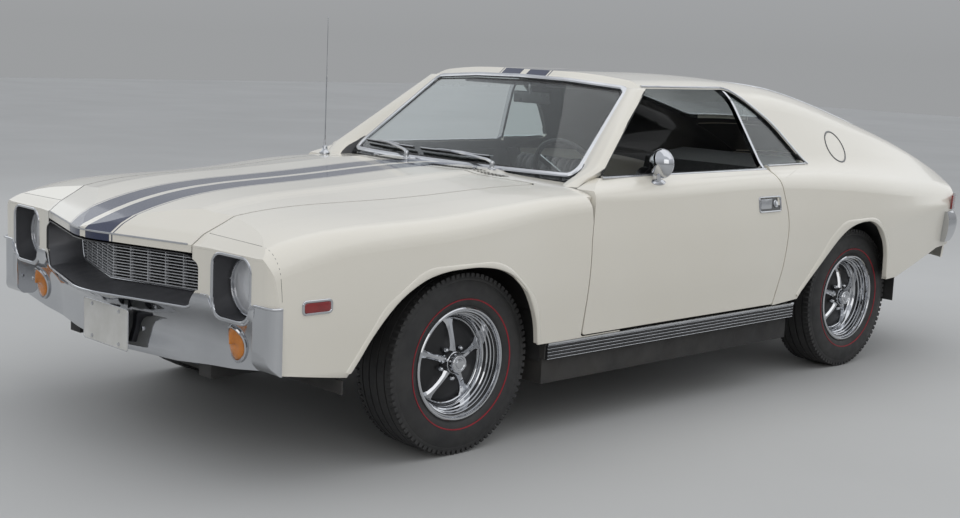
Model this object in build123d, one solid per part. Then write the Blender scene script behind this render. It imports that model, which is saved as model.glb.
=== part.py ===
from build123d import *
from collections import namedtuple
from math import atan2, cos, hypot, pi, radians, sin, sqrt, tan
import os

# A two-seat fastback muscle car of the late 1960s, in millimetres.
# X points to the nose, Y to the left and Z up. The origin is on the ground, at mid length.

os.makedirs("parts", exist_ok=True)

# Overall sizes.
HALF_LENGTH = 2250.5
FRONT_AXLE_X = 1270.0
REAR_AXLE_X = -1194.0
FRONT_WHEEL_Y = 741.0
REAR_WHEEL_Y = 724.0

# Walls, gaps and clearances.
SKIN = 6.0
ROOF_WALL = 28.0
QUARTER_WALL = 24.0
LID_WALL = 24.0
PLATE = 8.0
GLASS = 5.0
PANEL_GAP = 6.2
FRAME_GAP = 12.0
SEAT_GAP = 0.3
DOOR_INNER_Y = 768.0

# Wheels and tyres.
TYRE_RADIUS = 321.0
HUB_HEIGHT = TYRE_RADIUS
TYRE_HALF_WIDTH = 98.0
RIM_LIP_RADIUS = 193.0
RIM_SEAT_RADIUS = 178.0
RIM_HALF_WIDTH = 82.0
SPOKES = 5
SPINDLE_RADIUS = 15.0
BEARING_GAP = 0.3
DRUM_RADIUS = 138.0
DRUM_DEPTH = 58.0

# Lines that several panels share.
BELT_Z = 934.0
DOOR_FRONT_X = 700.0
DOOR_BOTTOM_Z = 372.0
FRONT_ARCH_TOP = 668.0
REAR_ARCH_TOP = 688.0
COWL_FRONT_X = 880.0
NOSE_X = 2264.3
NOSE_ROUND = 330.0
NOSE_LIP_Z = 746.0
HOOD_HALF_FRONT = 470.0
HOOD_HALF_REAR = 640.0
WINDSHIELD_BASE_X = 655.0
WINDSHIELD_BASE_Z = 933.0
WINDSHIELD_SLOPE = 37.5
WINDSHIELD_RADIUS = 2150.0
LID_FRONT_X = -1735.0
LID_REAR_X = -2140.0
TAIL_X = -2212.0
TAIL_LEAN = 0.12
TAIL_LEVEL = 640.0
FLOOR_Z = 228.0
TRUNK_FLOOR_Z = 440.0

# Joints.
STEER_Y = 665.0
STEER_ARM = 133.0
STEER_ARM_INNER = 39.0

# Lamps, handles and other small things.
LAMP_Y = 672.0
LAMP_Z = 637.0
LAMP_RADIUS = 89.0
LAMP_BACK_X = 2028.0
HANDLE_X = (-476.0, -356.0)
HANDLE_Z = (776.0, 826.0)
PLATE_HOLE_RADIUS = 3.5
PLATE_HOLE_SPACING = 178.0
GRILLE_BARS = 13
GRILLE_X = 2142.0
GRILLE_VEE = 0.2
GRILLE_SPREAD = 495.0
GRILLE_BACK_X = 2024.0
BUMPER_BACK_X = 2044.0
BUMPER_END_X = 2071.0

# Corners of the nose face seen from above, each side of the middle.
NOSE_MIDDLE = (2118.0, 500.0)
NOSE_SIDE = (2110.0, 800.0)

# Cross-sections of the nose, from ahead of its tip back to the windshield base.
NoseRow = namedtuple(
    "NoseRow", "x mid_z bulge crown_y crown_z shoulder_y shoulder_z wide_y wide_z sill_y sill_z"
)
NOSE_ROWS = [
    NoseRow(2330, 722, 1, 640, 706, 815, 678, 868, 580, 850, 380),
    NoseRow(2150, 800, 3, 690, 768, 852, 738, 884, 590, 862, 366),
    NoseRow(1950, 855, 6, 720, 820, 872, 794, 894, 600, 872, 345),
    NoseRow(1600, 890, 9, 740, 846, 880, 822, 900, 605, 876, 335),
    NoseRow(1150, 916, 10, 755, 870, 880, 846, 905, 610, 880, 325),
    NoseRow(750, 933, 10, 768, 896, 876, 876, 907, 618, 882, 325),
    NoseRow(450, 941, 10, 775, 916, 872, 893, 907, 622, 882, 325),
]

# Cross-sections of the cabin and tail, from ahead of the windshield to behind the tail.
CabinRow = namedtuple(
    "CabinRow",
    "x roof_z edge_y edge_z belt_y belt_z shoulder_y shoulder_z wide_y wide_z sill_y sill_z crease",
)
CABIN_ROWS = [
    CabinRow(900, 1290, 626, 1262, 800, 926, 872, 884, 907, 616, 882, 325, 0.95),
    CabinRow(500, 1300, 628, 1270, 800, 934, 872, 892, 907, 621, 882, 325, 0.95),
    CabinRow(-50, 1313, 630, 1284, 800, 940, 870, 900, 908, 625, 882, 325, 0.95),
    CabinRow(-450, 1310, 630, 1284, 798, 944, 870, 902, 909, 630, 884, 325, 0.95),
    CabinRow(-850, 1276, 622, 1250, 790, 945, 875, 890, 909, 650, 884, 330, 0.9),
    CabinRow(-1250, 1196, 612, 1171, 782, 925, 876, 862, 905, 680, 880, 335, 0.7),
    CabinRow(-1650, 1093, 612, 1068, 770, 895, 856, 826, 892, 706, 864, 350, 0.5),
    CabinRow(-1950, 992, 632, 968, 748, 862, 820, 806, 868, 722, 838, 370, 0.35),
    CabinRow(-2300, 850, 640, 828, 715, 795, 770, 772, 828, 735, 800, 390, 0.35),
]
ROOF_CROWN_Y = 330.0


def rounded_wire(points, place):
    """A closed outline of lines and arcs. Each point is (u, v) or (u, v, corner radius)."""
    corners = []
    count = len(points)
    for i, point in enumerate(points):
        u, v = point[:2]
        radius = point[2] if len(point) > 2 else 0
        back = (points[i - 1][0] - u, points[i - 1][1] - v)
        ahead = (points[(i + 1) % count][0] - u, points[(i + 1) % count][1] - v)
        b = (back[0] / hypot(*back), back[1] / hypot(*back))
        a = (ahead[0] / hypot(*ahead), ahead[1] / hypot(*ahead))
        half = 0.5 * atan2(abs(b[0] * a[1] - b[1] * a[0]), b[0] * a[0] + b[1] * a[1])
        if radius <= 0 or pi / 2 - half < 1e-4:
            corners.append(((u, v), None, (u, v)))
            continue
        tangent = radius / tan(half)
        reach = hypot(tangent, radius) - radius
        middle = (a[0] + b[0], a[1] + b[1])
        scale = reach / hypot(*middle)
        start = (u + b[0] * tangent, v + b[1] * tangent)
        end = (u + a[0] * tangent, v + a[1] * tangent)
        corners.append((start, (u + middle[0] * scale, v + middle[1] * scale), end))
    edges = []
    for i, (start, middle, end) in enumerate(corners):
        if middle:
            edges.append(Edge.make_three_point_arc(place(*start), place(*middle), place(*end)))
        following = corners[(i + 1) % count][0]
        if hypot(following[0] - end[0], following[1] - end[1]) > 1e-6:
            edges.append(Edge.make_line(place(*end), place(*following)))
    return Wire(edges)


def mirrored(half, index=1):
    """A closed outline from its left half. The index says which coordinate changes sign."""
    right = []
    for point in reversed(half):
        if abs(point[index]) > 1e-9:
            flipped = list(point)
            flipped[index] = -flipped[index]
            right.append(tuple(flipped))
    return half + right


DIRECTIONS = {"x": Vector(1, 0, 0), "y": Vector(0, 1, 0), "z": Vector(0, 0, 1)}


def across(axis, at):
    """A function that puts an outline's two coordinates on the plane across an axis."""

    def place(u, v):
        if axis == "x":
            return Vector(at, u, v)
        if axis == "y":
            return Vector(u, at, v)
        return Vector(u, v, at)

    return place


def prism(points, axis, low, high):
    """An outline pushed along an axis. The outline's coordinates are the other two, in order."""
    face = Face(rounded_wire(points, across(axis, low)))
    return Solid.extrude(face, DIRECTIONS[axis] * (high - low))


def block(x0, x1, y0, y1, z0, z1):
    return prism([(x0, y0), (x1, y0), (x1, y1), (x0, y1)], "z", z0, z1)


def bar(start, end, radius, bore=0):
    """A round bar between two points, or a pipe where it has a bore."""
    line = Vector(*end) - Vector(*start)
    plane = Plane(origin=start, z_dir=line)
    solid = Solid.make_cylinder(radius, line.length, plane)
    if bore:
        solid = solid - Solid.make_cylinder(bore, line.length, plane)
    return solid


def turned(profile, origin=(0, 0, 0), axis=(0, 1, 0)):
    """A profile of (distance along the axis, radius) points, spun about an axis through the origin."""
    spun = [(radius, along, *rest) for along, radius, *rest in profile]
    face = Face(rounded_wire(spun, across("y", 0)))
    solid = Solid.revolve(face, 360, Axis.Z)
    return Plane(origin=origin, z_dir=axis).location * solid


def fused(shapes):
    result = shapes[0]
    for other in shapes[1:]:
        result = result + other
    return result


def other_side(shape):
    return shape.mirror(Plane.XZ)


def save(node, *shapes):
    """Writes one node's solids."""
    solids = [solid for shape in shapes for solid in shape.solids()]
    export_step(solids[0] if len(solids) == 1 else Compound(solids), f"parts/{node}.step")


def save_pair(node, *shapes):
    """Writes a left node and its mirror image on the right."""
    save(f"{node}_left", *shapes)
    save(f"{node}_right", *[other_side(shape) for shape in shapes])


def inset_corners(corners, depth):
    """Half of a cross-section moved inwards by a wall's depth, corner by corner."""
    first = (-corners[0][0], corners[0][1], 0)
    last = (-corners[-1][0], corners[-1][1], 0)
    padded = [first, *corners, last]
    moved = []
    for before, here, after in zip(padded, padded[1:], padded[2:]):
        normals = []
        for start, end in ((before, here), (here, after)):
            run = (end[0] - start[0], end[1] - start[1])
            normals.append((run[1] / hypot(*run), -run[0] / hypot(*run)))
        total = (normals[0][0] + normals[1][0], normals[0][1] + normals[1][1])
        share = depth * 2 / (total[0] ** 2 + total[1] ** 2)
        moved.append((here[0] + total[0] * share, here[1] + total[1] * share, here[2]))
    return moved


def section_wire(x, corners):
    """A full cross-section from its half. A corner is (y, z, share of the room that its arc takes)."""
    whole = corners + [(-y, z, share) for y, z, share in reversed(corners)]
    points = []
    count = len(whole)
    for i, (y, z, share) in enumerate(whole):
        before = whole[i - 1]
        after = whole[(i + 1) % count]
        room = 0.5 * min(hypot(before[0] - y, before[1] - z), hypot(after[0] - y, after[1] - z))
        back = atan2(before[1] - z, before[0] - y)
        ahead = atan2(after[1] - z, after[0] - y)
        half = abs((back - ahead + pi) % (2 * pi) - pi) / 2
        points.append((y, z, room * share * tan(half)))
    return rounded_wire(points, across("x", x))


def nose_corners(row):
    bulge_y = 318 + 0.01 * row.x
    return [
        (bulge_y, row.mid_z - 2, 0.5),
        (bulge_y + 60, row.mid_z - 4 - row.bulge, 0.5),
        (row.crown_y, row.crown_z, 0.95),
        (row.shoulder_y, row.shoulder_z, 0.95),
        (row.wide_y, row.wide_z, 0.95),
        (row.sill_y, row.sill_z, 0.3),
    ]


def cabin_corners(row):
    return [
        (ROOF_CROWN_Y, row.roof_z, 0.95),
        (row.edge_y, row.edge_z, 0.7),
        (row.belt_y, row.belt_z, 0.9),
        (row.shoulder_y, row.shoulder_z, 0.9),
        (row.wide_y, row.wide_z, row.crease),
        (row.sill_y, row.sill_z, 0.3),
    ]


def body_loft(rows, corners_of, depth):
    """One of the body's two forms, a given depth inside its outer surface."""
    return Solid.make_loft([section_wire(row.x, inset_corners(corners_of(row), depth)) for row in rows])


def brow(start, end, depth):
    """Everything below the rounded front edge of the hood and fenders, along one run of the nose face."""
    along = Vector(end[0] - start[0], end[1] - start[1], 0).normalized()
    inward = Vector(-along.Y, along.X, 0)
    shift = 0.6 * depth
    low = NOSE_LIP_Z - depth
    profile = [
        (-400, 50),
        (-400, low - 8),
        (shift, low, 20),
        (40 + shift, low + 33, 80),
        (150 + shift, low + 92, 400),
        (900, 1300),
        (3000, 1300),
        (3000, 50),
    ]

    def place(behind, z):
        base = Vector(*start, 0) - along * 2500 + inward * behind
        return Vector(base.X, base.Y, z)

    return Solid.extrude(Face(rounded_wire(profile, place)), along * 5000)


def nose_form(depth=0.0):
    form = body_loft(NOSE_ROWS, nose_corners, depth)
    left = brow((NOSE_X, 0), NOSE_MIDDLE, depth) + brow(NOSE_MIDDLE, NOSE_SIDE, depth)
    return form & left & other_side(left)


def cabin_form(depth=0.0):
    return body_loft(CABIN_ROWS, cabin_corners, depth)


Forms = namedtuple("Forms", "nose nose_skin nose_lid nose_inside cabin cabin_roof cabin_quarter cabin_inside")


def body_forms():
    nose = nose_form()
    cabin = cabin_form()
    return Forms(
        nose=nose,
        nose_skin=nose - nose_form(SKIN),
        nose_lid=nose - nose_form(LID_WALL),
        nose_inside=nose_form(SKIN + SEAT_GAP),
        cabin=cabin,
        cabin_roof=cabin - cabin_form(ROOF_WALL),
        cabin_quarter=cabin - cabin_form(QUARTER_WALL),
        cabin_inside=cabin_form(QUARTER_WALL + SEAT_GAP),
    )


def front_arch(grow=0.0):
    """The front wheel opening, in X and Z."""
    return [
        (1803 + grow, 100),
        (1803 + grow, 359),
        (1665 + grow, 560, 160),
        (1500, FRONT_ARCH_TOP + grow, 180),
        (1150, FRONT_ARCH_TOP + grow, 190),
        (985 - grow, 520, 120),
        (950 - grow, 381),
        (950 - grow, 100),
    ]


def rear_arch(grow=0.0):
    """The rear wheel opening, in X and Z."""
    return [
        (-690 + grow, 100),
        (-664 + grow, 378),
        (-880 + grow, 620, 200),
        (-985, REAR_ARCH_TOP + grow, 150),
        (-1260, REAR_ARCH_TOP + grow, 130),
        (-1385 - grow, 560, 120),
        (-1410 - grow, 402),
        (-1420 - grow, 100),
    ]


def door_outline(gap=0.0):
    """The door's edge, in X and Z, grown by a gap for the opening."""
    return [
        (DOOR_FRONT_X + 18 + gap, DOOR_BOTTOM_Z - gap, 12),
        (DOOR_FRONT_X - 8 + gap, 720),
        (DOOR_FRONT_X - 42 + gap, 897),
        (567 + gap, BELT_Z + 2 + gap),
        (-487 - gap, BELT_Z + 2 + gap),
        (-512 - gap, 880, 250),
        (-556 - gap, 730, 300),
        (-520 - gap, 520, 300),
        (-478 - gap, DOOR_BOTTOM_Z - gap, 14),
    ]


def side_window_outline(margin=0.0):
    """The side opening from the windshield pillar to the sail panel, in X and Z."""
    return [
        (560 - 2.2 * margin, BELT_Z - 30),
        (560 - 2.2 * margin, BELT_Z + 4 + margin),
        (128 - 0.8 * margin, 1262 - margin, 30),
        (-420, 1262 - margin, 120),
        (-640 + margin, 1120, 400),
        (-795 + 2 * margin, 952 + margin, 18),
        (-560, BELT_Z - 30),
    ]


def windshield_outline(margin=0.0):
    """The windshield seen from ahead, in Y and Z."""
    half = [
        (0, 905 + margin),
        (684 - margin, 905 + margin),
        (560 - margin, 1264 - margin, 45),
        (0, 1292 - margin, 4000),
    ]
    return mirrored(half, 0)


def rear_window_outline(margin=0.0):
    """The rear window seen from above, in X and Y."""
    return mirrored([(-800 - margin, 505 - margin, 60), (-1640 + margin, 520 - margin, 60)])


def hood_outline(gap=0.0):
    """The hood seen from above, grown by a gap."""
    return mirrored(
        [
            (NOSE_X + 90, HOOD_HALF_FRONT - 8 + gap),
            (2090, HOOD_HALF_FRONT + gap, 300),
            (740 - 1.4 * gap, HOOD_HALF_REAR + gap, 25),
            (800 - 1.4 * gap, 420, 500),
            (COWL_FRONT_X - 1.4 * gap, 0, 900),
        ]
    )


def lid_outline(gap=0.0):
    """The trunk lid seen from above, grown by a gap."""
    return mirrored([(LID_FRONT_X + gap, 540 + gap, 30), (LID_REAR_X - gap, 575 + gap, 20)])


def roof_outline():
    """The roof panel seen from above, with its seams to the sail panels."""
    return mirrored([(900, 1000), (-700, 1000), (-700, 560), (-780, 505), (-830, 400)])


COWL_OUTLINE = mirrored([(900, 600), (705, 600), (705, 775), (665, 1000), (300, 1000)])


def lamp_outline(margin=0.0):
    """A headlamp's opening seen from ahead."""
    half_width = 102 - margin
    low = 535 + margin
    high = 740 - margin
    return [
        (LAMP_Y - half_width, low, 60 - margin),
        (LAMP_Y + half_width, low, 60 - margin),
        (LAMP_Y + half_width, high, 46 - margin),
        (LAMP_Y - half_width, high, 46 - margin),
    ]


def grille_outline(margin=0.0):
    """The grille's opening seen from ahead."""
    return mirrored(
        [
            (0, 544 + margin),
            (456 - margin, 544 + margin, 14),
            (488 - margin, 602 + margin),
            (502 - margin, 606 + margin),
            (502 - margin, 688 - margin, 26),
            (455 - margin, 714 - margin, 60),
        ],
        0,
    )


def ahead_of_nose(ahead=0.0):
    """Everything in front of the nose face, whose plan line is moved ahead."""
    outline = mirrored(
        [
            (NOSE_X + ahead, 0, NOSE_ROUND),
            (NOSE_MIDDLE[0] + ahead, NOSE_MIDDLE[1], 420),
            (NOSE_SIDE[0] + ahead, NOSE_SIDE[1], 300),
            (2100 + ahead, 882 + 0.6 * ahead, 70),
            (2020 + ahead, 905 + 0.6 * ahead),
            (2020 + ahead, 1100),
            (2600, 1100),
        ]
    )
    return prism(outline, "z", 100, 1000)


def behind_tail(behind=0.0):
    """Everything behind the tail face, which leans forward towards the ground."""
    top = 1000.0
    lean = TAIL_LEAN * (top - TAIL_LEVEL)
    outline = mirrored(
        [
            (TAIL_X - behind - lean, 0, 1500),
            (-2182 - behind - lean, 430, 900),
            (-2140 - behind - lean, 720, 160),
            (-2060 - 0.6 * behind - lean, 838 + 0.5 * behind, 110),
            (-1860 - lean, 905 + 0.8 * behind),
            (-1860 - lean, 1100),
            (-2700 - lean, 1100),
        ]
    )
    face = Face(rounded_wire(outline, across("z", top)))
    depth = 700.0
    return Solid.extrude(face, Vector(TAIL_LEAN * depth, 0, -depth))


def windshield_line(shift):
    """The windshield's curved plan line, moved back along X, and where its ends lie."""
    x = WINDSHIELD_BASE_X - shift
    drop = WINDSHIELD_RADIUS - sqrt(WINDSHIELD_RADIUS**2 - 680.0**2)
    return Edge.make_three_point_arc((x - drop, -680, 0), (x, 0, 0), (x - drop, 680, 0)), x - drop


def windshield_slab(front, back, side_step=24.0):
    """What lies between two copies of the slanted windshield surface."""
    slope = radians(WINDSHIELD_SLOPE)
    direction = Vector(-cos(slope), 0, sin(slope))
    front_line, front_x = windshield_line(front)
    back_line, back_x = windshield_line(back)
    corners = [
        (front_x, 680, 0),
        (front_x + side_step, 1000, 0),
        (back_x + side_step, 1000, 0),
        (back_x, 680, 0),
    ]
    left = [Edge.make_line(a, b) for a, b in zip(corners, corners[1:])]
    flipped = [(x, -y, z) for x, y, z in corners]
    right = [Edge.make_line(a, b) for a, b in zip(flipped, flipped[1:])]
    face = Face(Wire([front_line, *left, back_line, *right]))
    below = 260.0
    start = Pos(-direction.X * below, 0, WINDSHIELD_BASE_Z - direction.Z * below) * face
    return Solid.extrude(start, direction * 1050)


def fender(forms):
    outline = [
        (2300, 604.3),
        (BUMPER_END_X, 604.3),
        (BUMPER_END_X, 393),
        (1803, 352),
        (1700, 352),
        (1000, 362),
        (500, 362),
        (500, 1000),
        (2300, 1000),
    ]
    side = prism(outline, "y", 300, 1000)
    panel = (forms.nose_skin & side) - ahead_of_nose() - prism(front_arch(), "y", 300, 1000)
    panel = panel - prism(hood_outline(PANEL_GAP), "z", 650, 1100)
    return panel - prism(door_outline(PANEL_GAP), "y", 300, 1000) - prism(COWL_OUTLINE, "z", 700, 1100)


def nose_panel(forms):
    """The body-coloured face that carries the lamps and the grille."""
    face = ahead_of_nose(-18) - ahead_of_nose()
    face = face & forms.nose_inside & block(1900, 2400, -900, 900, 500, 900)
    face = face - prism(hood_outline(PANEL_GAP), "z", 700, 1100) - below_bumper_edge(SEAT_GAP)
    lamp = prism(lamp_outline(), "x", 1900, 2400)
    return face - lamp - other_side(lamp) - prism(grille_outline(), "x", 1900, 2400)


def hood(forms):
    return (forms.nose_lid & prism(hood_outline(), "z", 650, 1100)) - ahead_of_nose()


def cowl(forms):
    panel = forms.nose_lid & prism(COWL_OUTLINE, "z", 800, 1000)
    panel = panel - prism(hood_outline(PANEL_GAP), "z", 650, 1100)
    panel = (panel - windshield_slab(-SEAT_GAP, 900)) & block(400, 1000, -850, 850, 800, 1000)
    door_room = prism(door_outline(PANEL_GAP), "y", DOOR_INNER_Y - PANEL_GAP, 1000)
    return panel - door_room - other_side(door_room)


def roof(forms):
    shell = forms.cabin_roof & prism(roof_outline(), "z", 945, 1400)
    shell = shell - windshield_slab(-900, 0) - prism(windshield_outline(), "x", 135, 900)
    frame = forms.cabin & windshield_slab(0, 62) & block(0, 700, -900, 900, 926.5, 1400)
    frame = frame - prism(windshield_outline(), "x", -100, 900)
    shell = (shell + frame) - prism(side_window_outline(), "y", -1000, 1000)
    shell = shell - prism(rear_window_outline(), "z", 900, 1400)
    door_room = prism(door_outline(PANEL_GAP), "y", DOOR_INNER_Y - PANEL_GAP, 1000)
    return shell - door_room - other_side(door_room)


def quarter(forms):
    outline = [
        (-486, 366),
        (-664, 378),
        (-1300, 395),
        (-1500, 402),
        (-1902, 512),
        (-2400, 540),
        (-2400, 1400),
        (-486, 1400),
    ]
    shell = forms.cabin_quarter & prism(outline, "y", 0, 1000)
    shell = shell - prism(roof_outline(), "z", 945, 1400)
    for opening in (door_outline(PANEL_GAP), side_window_outline(), rear_arch()):
        shell = shell - prism(opening, "y", 300, 1000)
    shell = shell - prism(rear_window_outline(), "z", 700, 1400)
    shell = shell - prism(lid_outline(PANEL_GAP), "z", 600, 1400)
    shell = shell - block(LID_FRONT_X, -1500, -560, 560, 700, 1400)
    return shell - block(-2400, LID_REAR_X + 60, -590, 590, 300, 1400) - behind_tail()


def deck_strip(forms):
    strip = forms.cabin_quarter & block(LID_FRONT_X, -1500, -560, 560, 700, 1400)
    strip = strip - prism(lid_outline(PANEL_GAP), "z", 600, 1400)
    return strip - prism(rear_window_outline(), "z", 700, 1400)


def trunk_lid(forms):
    return forms.cabin_quarter & prism(lid_outline(), "z", 700, 1400)


def tail_panel(forms):
    """The tail plate with its number plate holes, and the strip of deck above it."""
    plate = (behind_tail(-20) - behind_tail()) & forms.cabin_inside
    plate = plate & block(-2400, -1700, -900, 900, TRUNK_FLOOR_Z + PLATE + SEAT_GAP, 1100)
    for y in (-PLATE_HOLE_SPACING / 2, PLATE_HOLE_SPACING / 2):
        plate = plate - bar((-2400, y, 800), (-1900, y, 800), PLATE_HOLE_RADIUS)
    strip = forms.cabin_quarter & block(-2400, LID_REAR_X + 60, -590, 590, 700, 1400)
    strip = strip - prism(lid_outline(PANEL_GAP), "z", 600, 1400) - behind_tail()
    return plate, strip


def door(forms):
    leaf = forms.cabin & prism(door_outline(), "y", DOOR_INNER_Y, 1000)
    leaf = leaf - block(-470, 560, 775.7, 782.3, 560, 1000)
    return leaf - block(*HANDLE_X, 870, 1000, *HANDLE_Z)


def door_handle(forms):
    x0, x1 = HANDLE_X
    z0, z1 = HANDLE_Z
    return forms.cabin & block(x0 + 0.5, x1 - 0.5, 870 + SEAT_GAP, 905, z0 + 0.5, z1 - 0.5)


def door_glass():
    """The lowered window, whose top edge stands in the door's slot."""
    return block(-465, 555, 776, 782, 560 + SEAT_GAP, BELT_Z + 1)


def door_mirror(forms):
    """A round mirror on a stalk."""
    foot = prism([(232, 826), (312, 826), (312, 850), (232, 850)], "z", 890, 934) - cabin_form(-SEAT_GAP)
    stalk = bar((272, 838, 930), (275, 846, 960), 9)
    profile = [(-14, 0), (-14, 52), (-6, 58), (2, 57), (20, 38, 12), (27, 0)]
    head = turned(profile, (275, 849, 985), (1, 0, 0))
    return fused([foot, stalk, head])


def windshield():
    glass = windshield_slab(6, 15) & prism(windshield_outline(SEAT_GAP), "x", -100, 900)
    return glass & block(0, 750, -900, 900, 912, 1400)


def rear_window():
    return (cabin_form(8) & prism(rear_window_outline(SEAT_GAP), "z", 900, 1400)) - cabin_form(8 + GLASS)


def quarter_window():
    """Fixed glass behind the door, and the bright upright at its front edge."""
    room = prism(side_window_outline(SEAT_GAP), "y", 300, 1000)
    sheet = (cabin_form(9) & room & block(-900, -300, 300, 1000, 946, 1265)) - cabin_form(9 + GLASS)
    behind = prism([(-484, 925), (-404, 1270), (-900, 1270), (-900, 925)], "y", 300, 1000)
    band = prism([(-483.7, 925), (-403.7, 1270), (-389, 1270), (-469, 925)], "y", 300, 1000)
    upright = (cabin_form(2) & room & band & block(-900, -300, 300, 1000, 942, 1265)) - cabin_form(22)
    return sheet & behind, upright


UNDER_TUNNEL = [(-156, 200), (-142, 236), (-111, 422), (111, 422), (142, 236), (156, 200)]


def floor_pan():
    """Floor plates, tunnel, step, trunk floor, sills and rails, each a solid of its own."""
    tunnel = [
        (-156, FLOOR_Z), (-156, 236), (-150, 236), (-118, 430), (118, 430), (150, 236),
        (156, 236), (156, FLOOR_Z), (144, FLOOR_Z), (111, 422), (-111, 422), (-144, FLOOR_Z),
    ]
    step_x = -620 - SEAT_GAP
    deck_low = TRUNK_FLOOR_Z - SEAT_GAP
    step = block(step_x - PLATE, step_x, -699.7, 699.7, FLOOR_Z, deck_low)
    solids = [
        prism(tunnel, "x", -620, 792 - SEAT_GAP),
        step - prism(UNDER_TUNNEL, "x", -640, -600),
        block(-2165, step_x, -555.7, 555.7, TRUNK_FLOOR_Z, TRUNK_FLOOR_Z + PLATE),
    ]
    for piece in (
        block(-620, 792 - SEAT_GAP, 156 + SEAT_GAP, 699.7, FLOOR_Z, FLOOR_Z + PLATE),
        block(-640, 892.7, 700, 855, 205, 362),
        block(800 + SEAT_GAP, BUMPER_BACK_X - SEAT_GAP, 395, 465.7, 300, 400),
        block(-2100, step_x - PLATE - SEAT_GAP, 455, 530, 380, deck_low),
    ):
        solids += [piece, other_side(piece)]
    return solids


def front_house():
    """A front wheelhouse: the liner over the tyre and the apron beside the engine."""
    outer = [
        (1827, 300),
        (1827, 380),
        (1690, 610, 60),
        (1505, 712, 60),
        (1145, 712, 60),
        (950, 610, 60),
        (893, 470, 30),
        (893, 300),
    ]
    inner = [
        (1821, 200),
        (1821, 376),
        (1686, 605, 56),
        (1503, 706, 56),
        (1148, 706, 56),
        (954, 606, 56),
        (899, 468, 28),
        (899, 200),
    ]
    liner = prism(outer, "y", 466, 920) - prism(inner, "y", 400, 1000)
    apron = prism([(2010, 390), (2010, 690), (1960, 764), (800.3, 764), (800.3, 390)], "y", 466, 472)
    shelf = block(800.3, 1960, 466, 920, 758, 764)
    return fused([liner, apron, shelf])


def rear_well(grow, low):
    """The room over a rear wheel: round the tyre, and out to the panel's opening."""
    radius = TYRE_RADIUS + 37 + grow
    over_tyre = bar((REAR_AXLE_X, low, HUB_HEIGHT), (REAR_AXLE_X, 1000, HUB_HEIGHT), radius)
    return over_tyre + prism(rear_arch(grow), "y", low, 1000)


def rear_house():
    shell = rear_well(14, 556) - rear_well(8, 562)
    inner_wall = block(-1700, -500, 500, 562.5, 396, 900)
    return shell & (inner_wall + block(-1700, -500, 562, 1000, 320, 900))


def firewall():
    plate = block(792, 800, -790, 790, 362.3, 960) + block(792, 800, -699.7, 699.7, FLOOR_Z, 362.3)
    return plate - prism(UNDER_TUNNEL, "x", 700, 900)


def door_frame():
    """The two pillars that a closed door shuts against."""
    band = prism(door_outline(FRAME_GAP + 16), "y", 706, 900)
    band = band - prism(door_outline(FRAME_GAP), "y", 600, 1000)
    rooms = (block(-700, 0, 700, 1000, 362.3, 900), block(500, 850, 700, 1000, 362.3, 834))
    return [band & room for room in rooms]


def wheelhouses(forms):
    """The liners over the front and rear wheels, each with the wall beside it."""
    low_front = block(700, 2100, -872, 872, 200, 345)
    front = front_house() & (forms.nose_inside + low_front)
    rear = rear_house() & forms.cabin_inside
    return front, other_side(front), rear, other_side(rear)


def door_frames(forms):
    pillars = [pillar & forms.cabin_inside for pillar in door_frame()]
    return pillars + [other_side(pillar) for pillar in pillars]


def underbody():
    """Floor, sills, rails, firewall and radiator support."""
    below_hood = nose_form(LID_WALL + 6)
    below_cowl = nose_form(LID_WALL + SEAT_GAP) & block(700, 900, -380, 380, 300, 960)
    wall = firewall() & (below_hood + below_cowl + block(700, 900, -760, 760, 200, 345))
    half = [(0, 300), (394.7, 300), (394.7, 400.3), (465.7, 400.3), (465.7, 740), (0, 740)]
    support = prism(mirrored(half, 0), "x", 1990, 1996)
    support = support & (below_hood + block(1900, 2100, -600, 600, 200, 370))
    support = support - prism([(-340, 330), (340, 330), (340, 700), (-340, 700)], "x", 1900, 2100)
    return (*floor_pan(), wall, support)


# The front bumper's face at three places across, at rising heights: it tucks under towards the road.
FrontBumperRow = namedtuple("FrontBumperRow", "z centre_x middle_x side_x")
FRONT_BUMPER_ROWS = [
    FrontBumperRow(320, 2126, 2054, 2050),
    FrontBumperRow(400, 2136, 2062, 2055),
    FrontBumperRow(482, 2150, 2074, 2065),
    FrontBumperRow(516, 2196, 2094, 2085),
    FrontBumperRow(546, 2262, 2116, 2108),
    FrontBumperRow(622, 2264, 2119, 2111),
]
# The front bumper's top edge seen from ahead: a step beside each lamp and a dip under it.
BUMPER_EDGE = [
    (0, 546),
    (462, 546, 30),
    (492, 597, 15),
    (560, 597, 15),
    (592, 534, 45),
    (757, 534, 45),
    (786, 604, 15),
    (1000, 604),
]
RearBumperRow = namedtuple("RearBumperRow", "z bulge")
REAR_BUMPER_ROWS = [
    RearBumperRow(540, 6),
    RearBumperRow(575, 30),
    RearBumperRow(640, 41),
    RearBumperRow(690, 10),
]


def below_bumper_edge(gap=0.0):
    """Everything below the front bumper's top edge."""
    edge = [(point[0], point[1] + gap, *point[2:]) for point in BUMPER_EDGE]
    return prism(mirrored(edge + [(1000, 200), (0, 200)], 0), "x", 1800, 2500)


def front_bumper_form(ahead=0.0):
    """The front bumper's middle, whose face is moved ahead."""
    wires = []
    for row in FRONT_BUMPER_ROWS:
        half = [
            (row.centre_x + ahead, 0, NOSE_ROUND),
            (row.middle_x + ahead, 500, 300),
            (row.side_x + ahead, 792, 10),
            (BUMPER_BACK_X, 796),
            (BUMPER_BACK_X, 0),
        ]
        wires.append(rounded_wire(mirrored(half), across("z", row.z)))
    return Solid.make_loft(wires)


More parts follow.
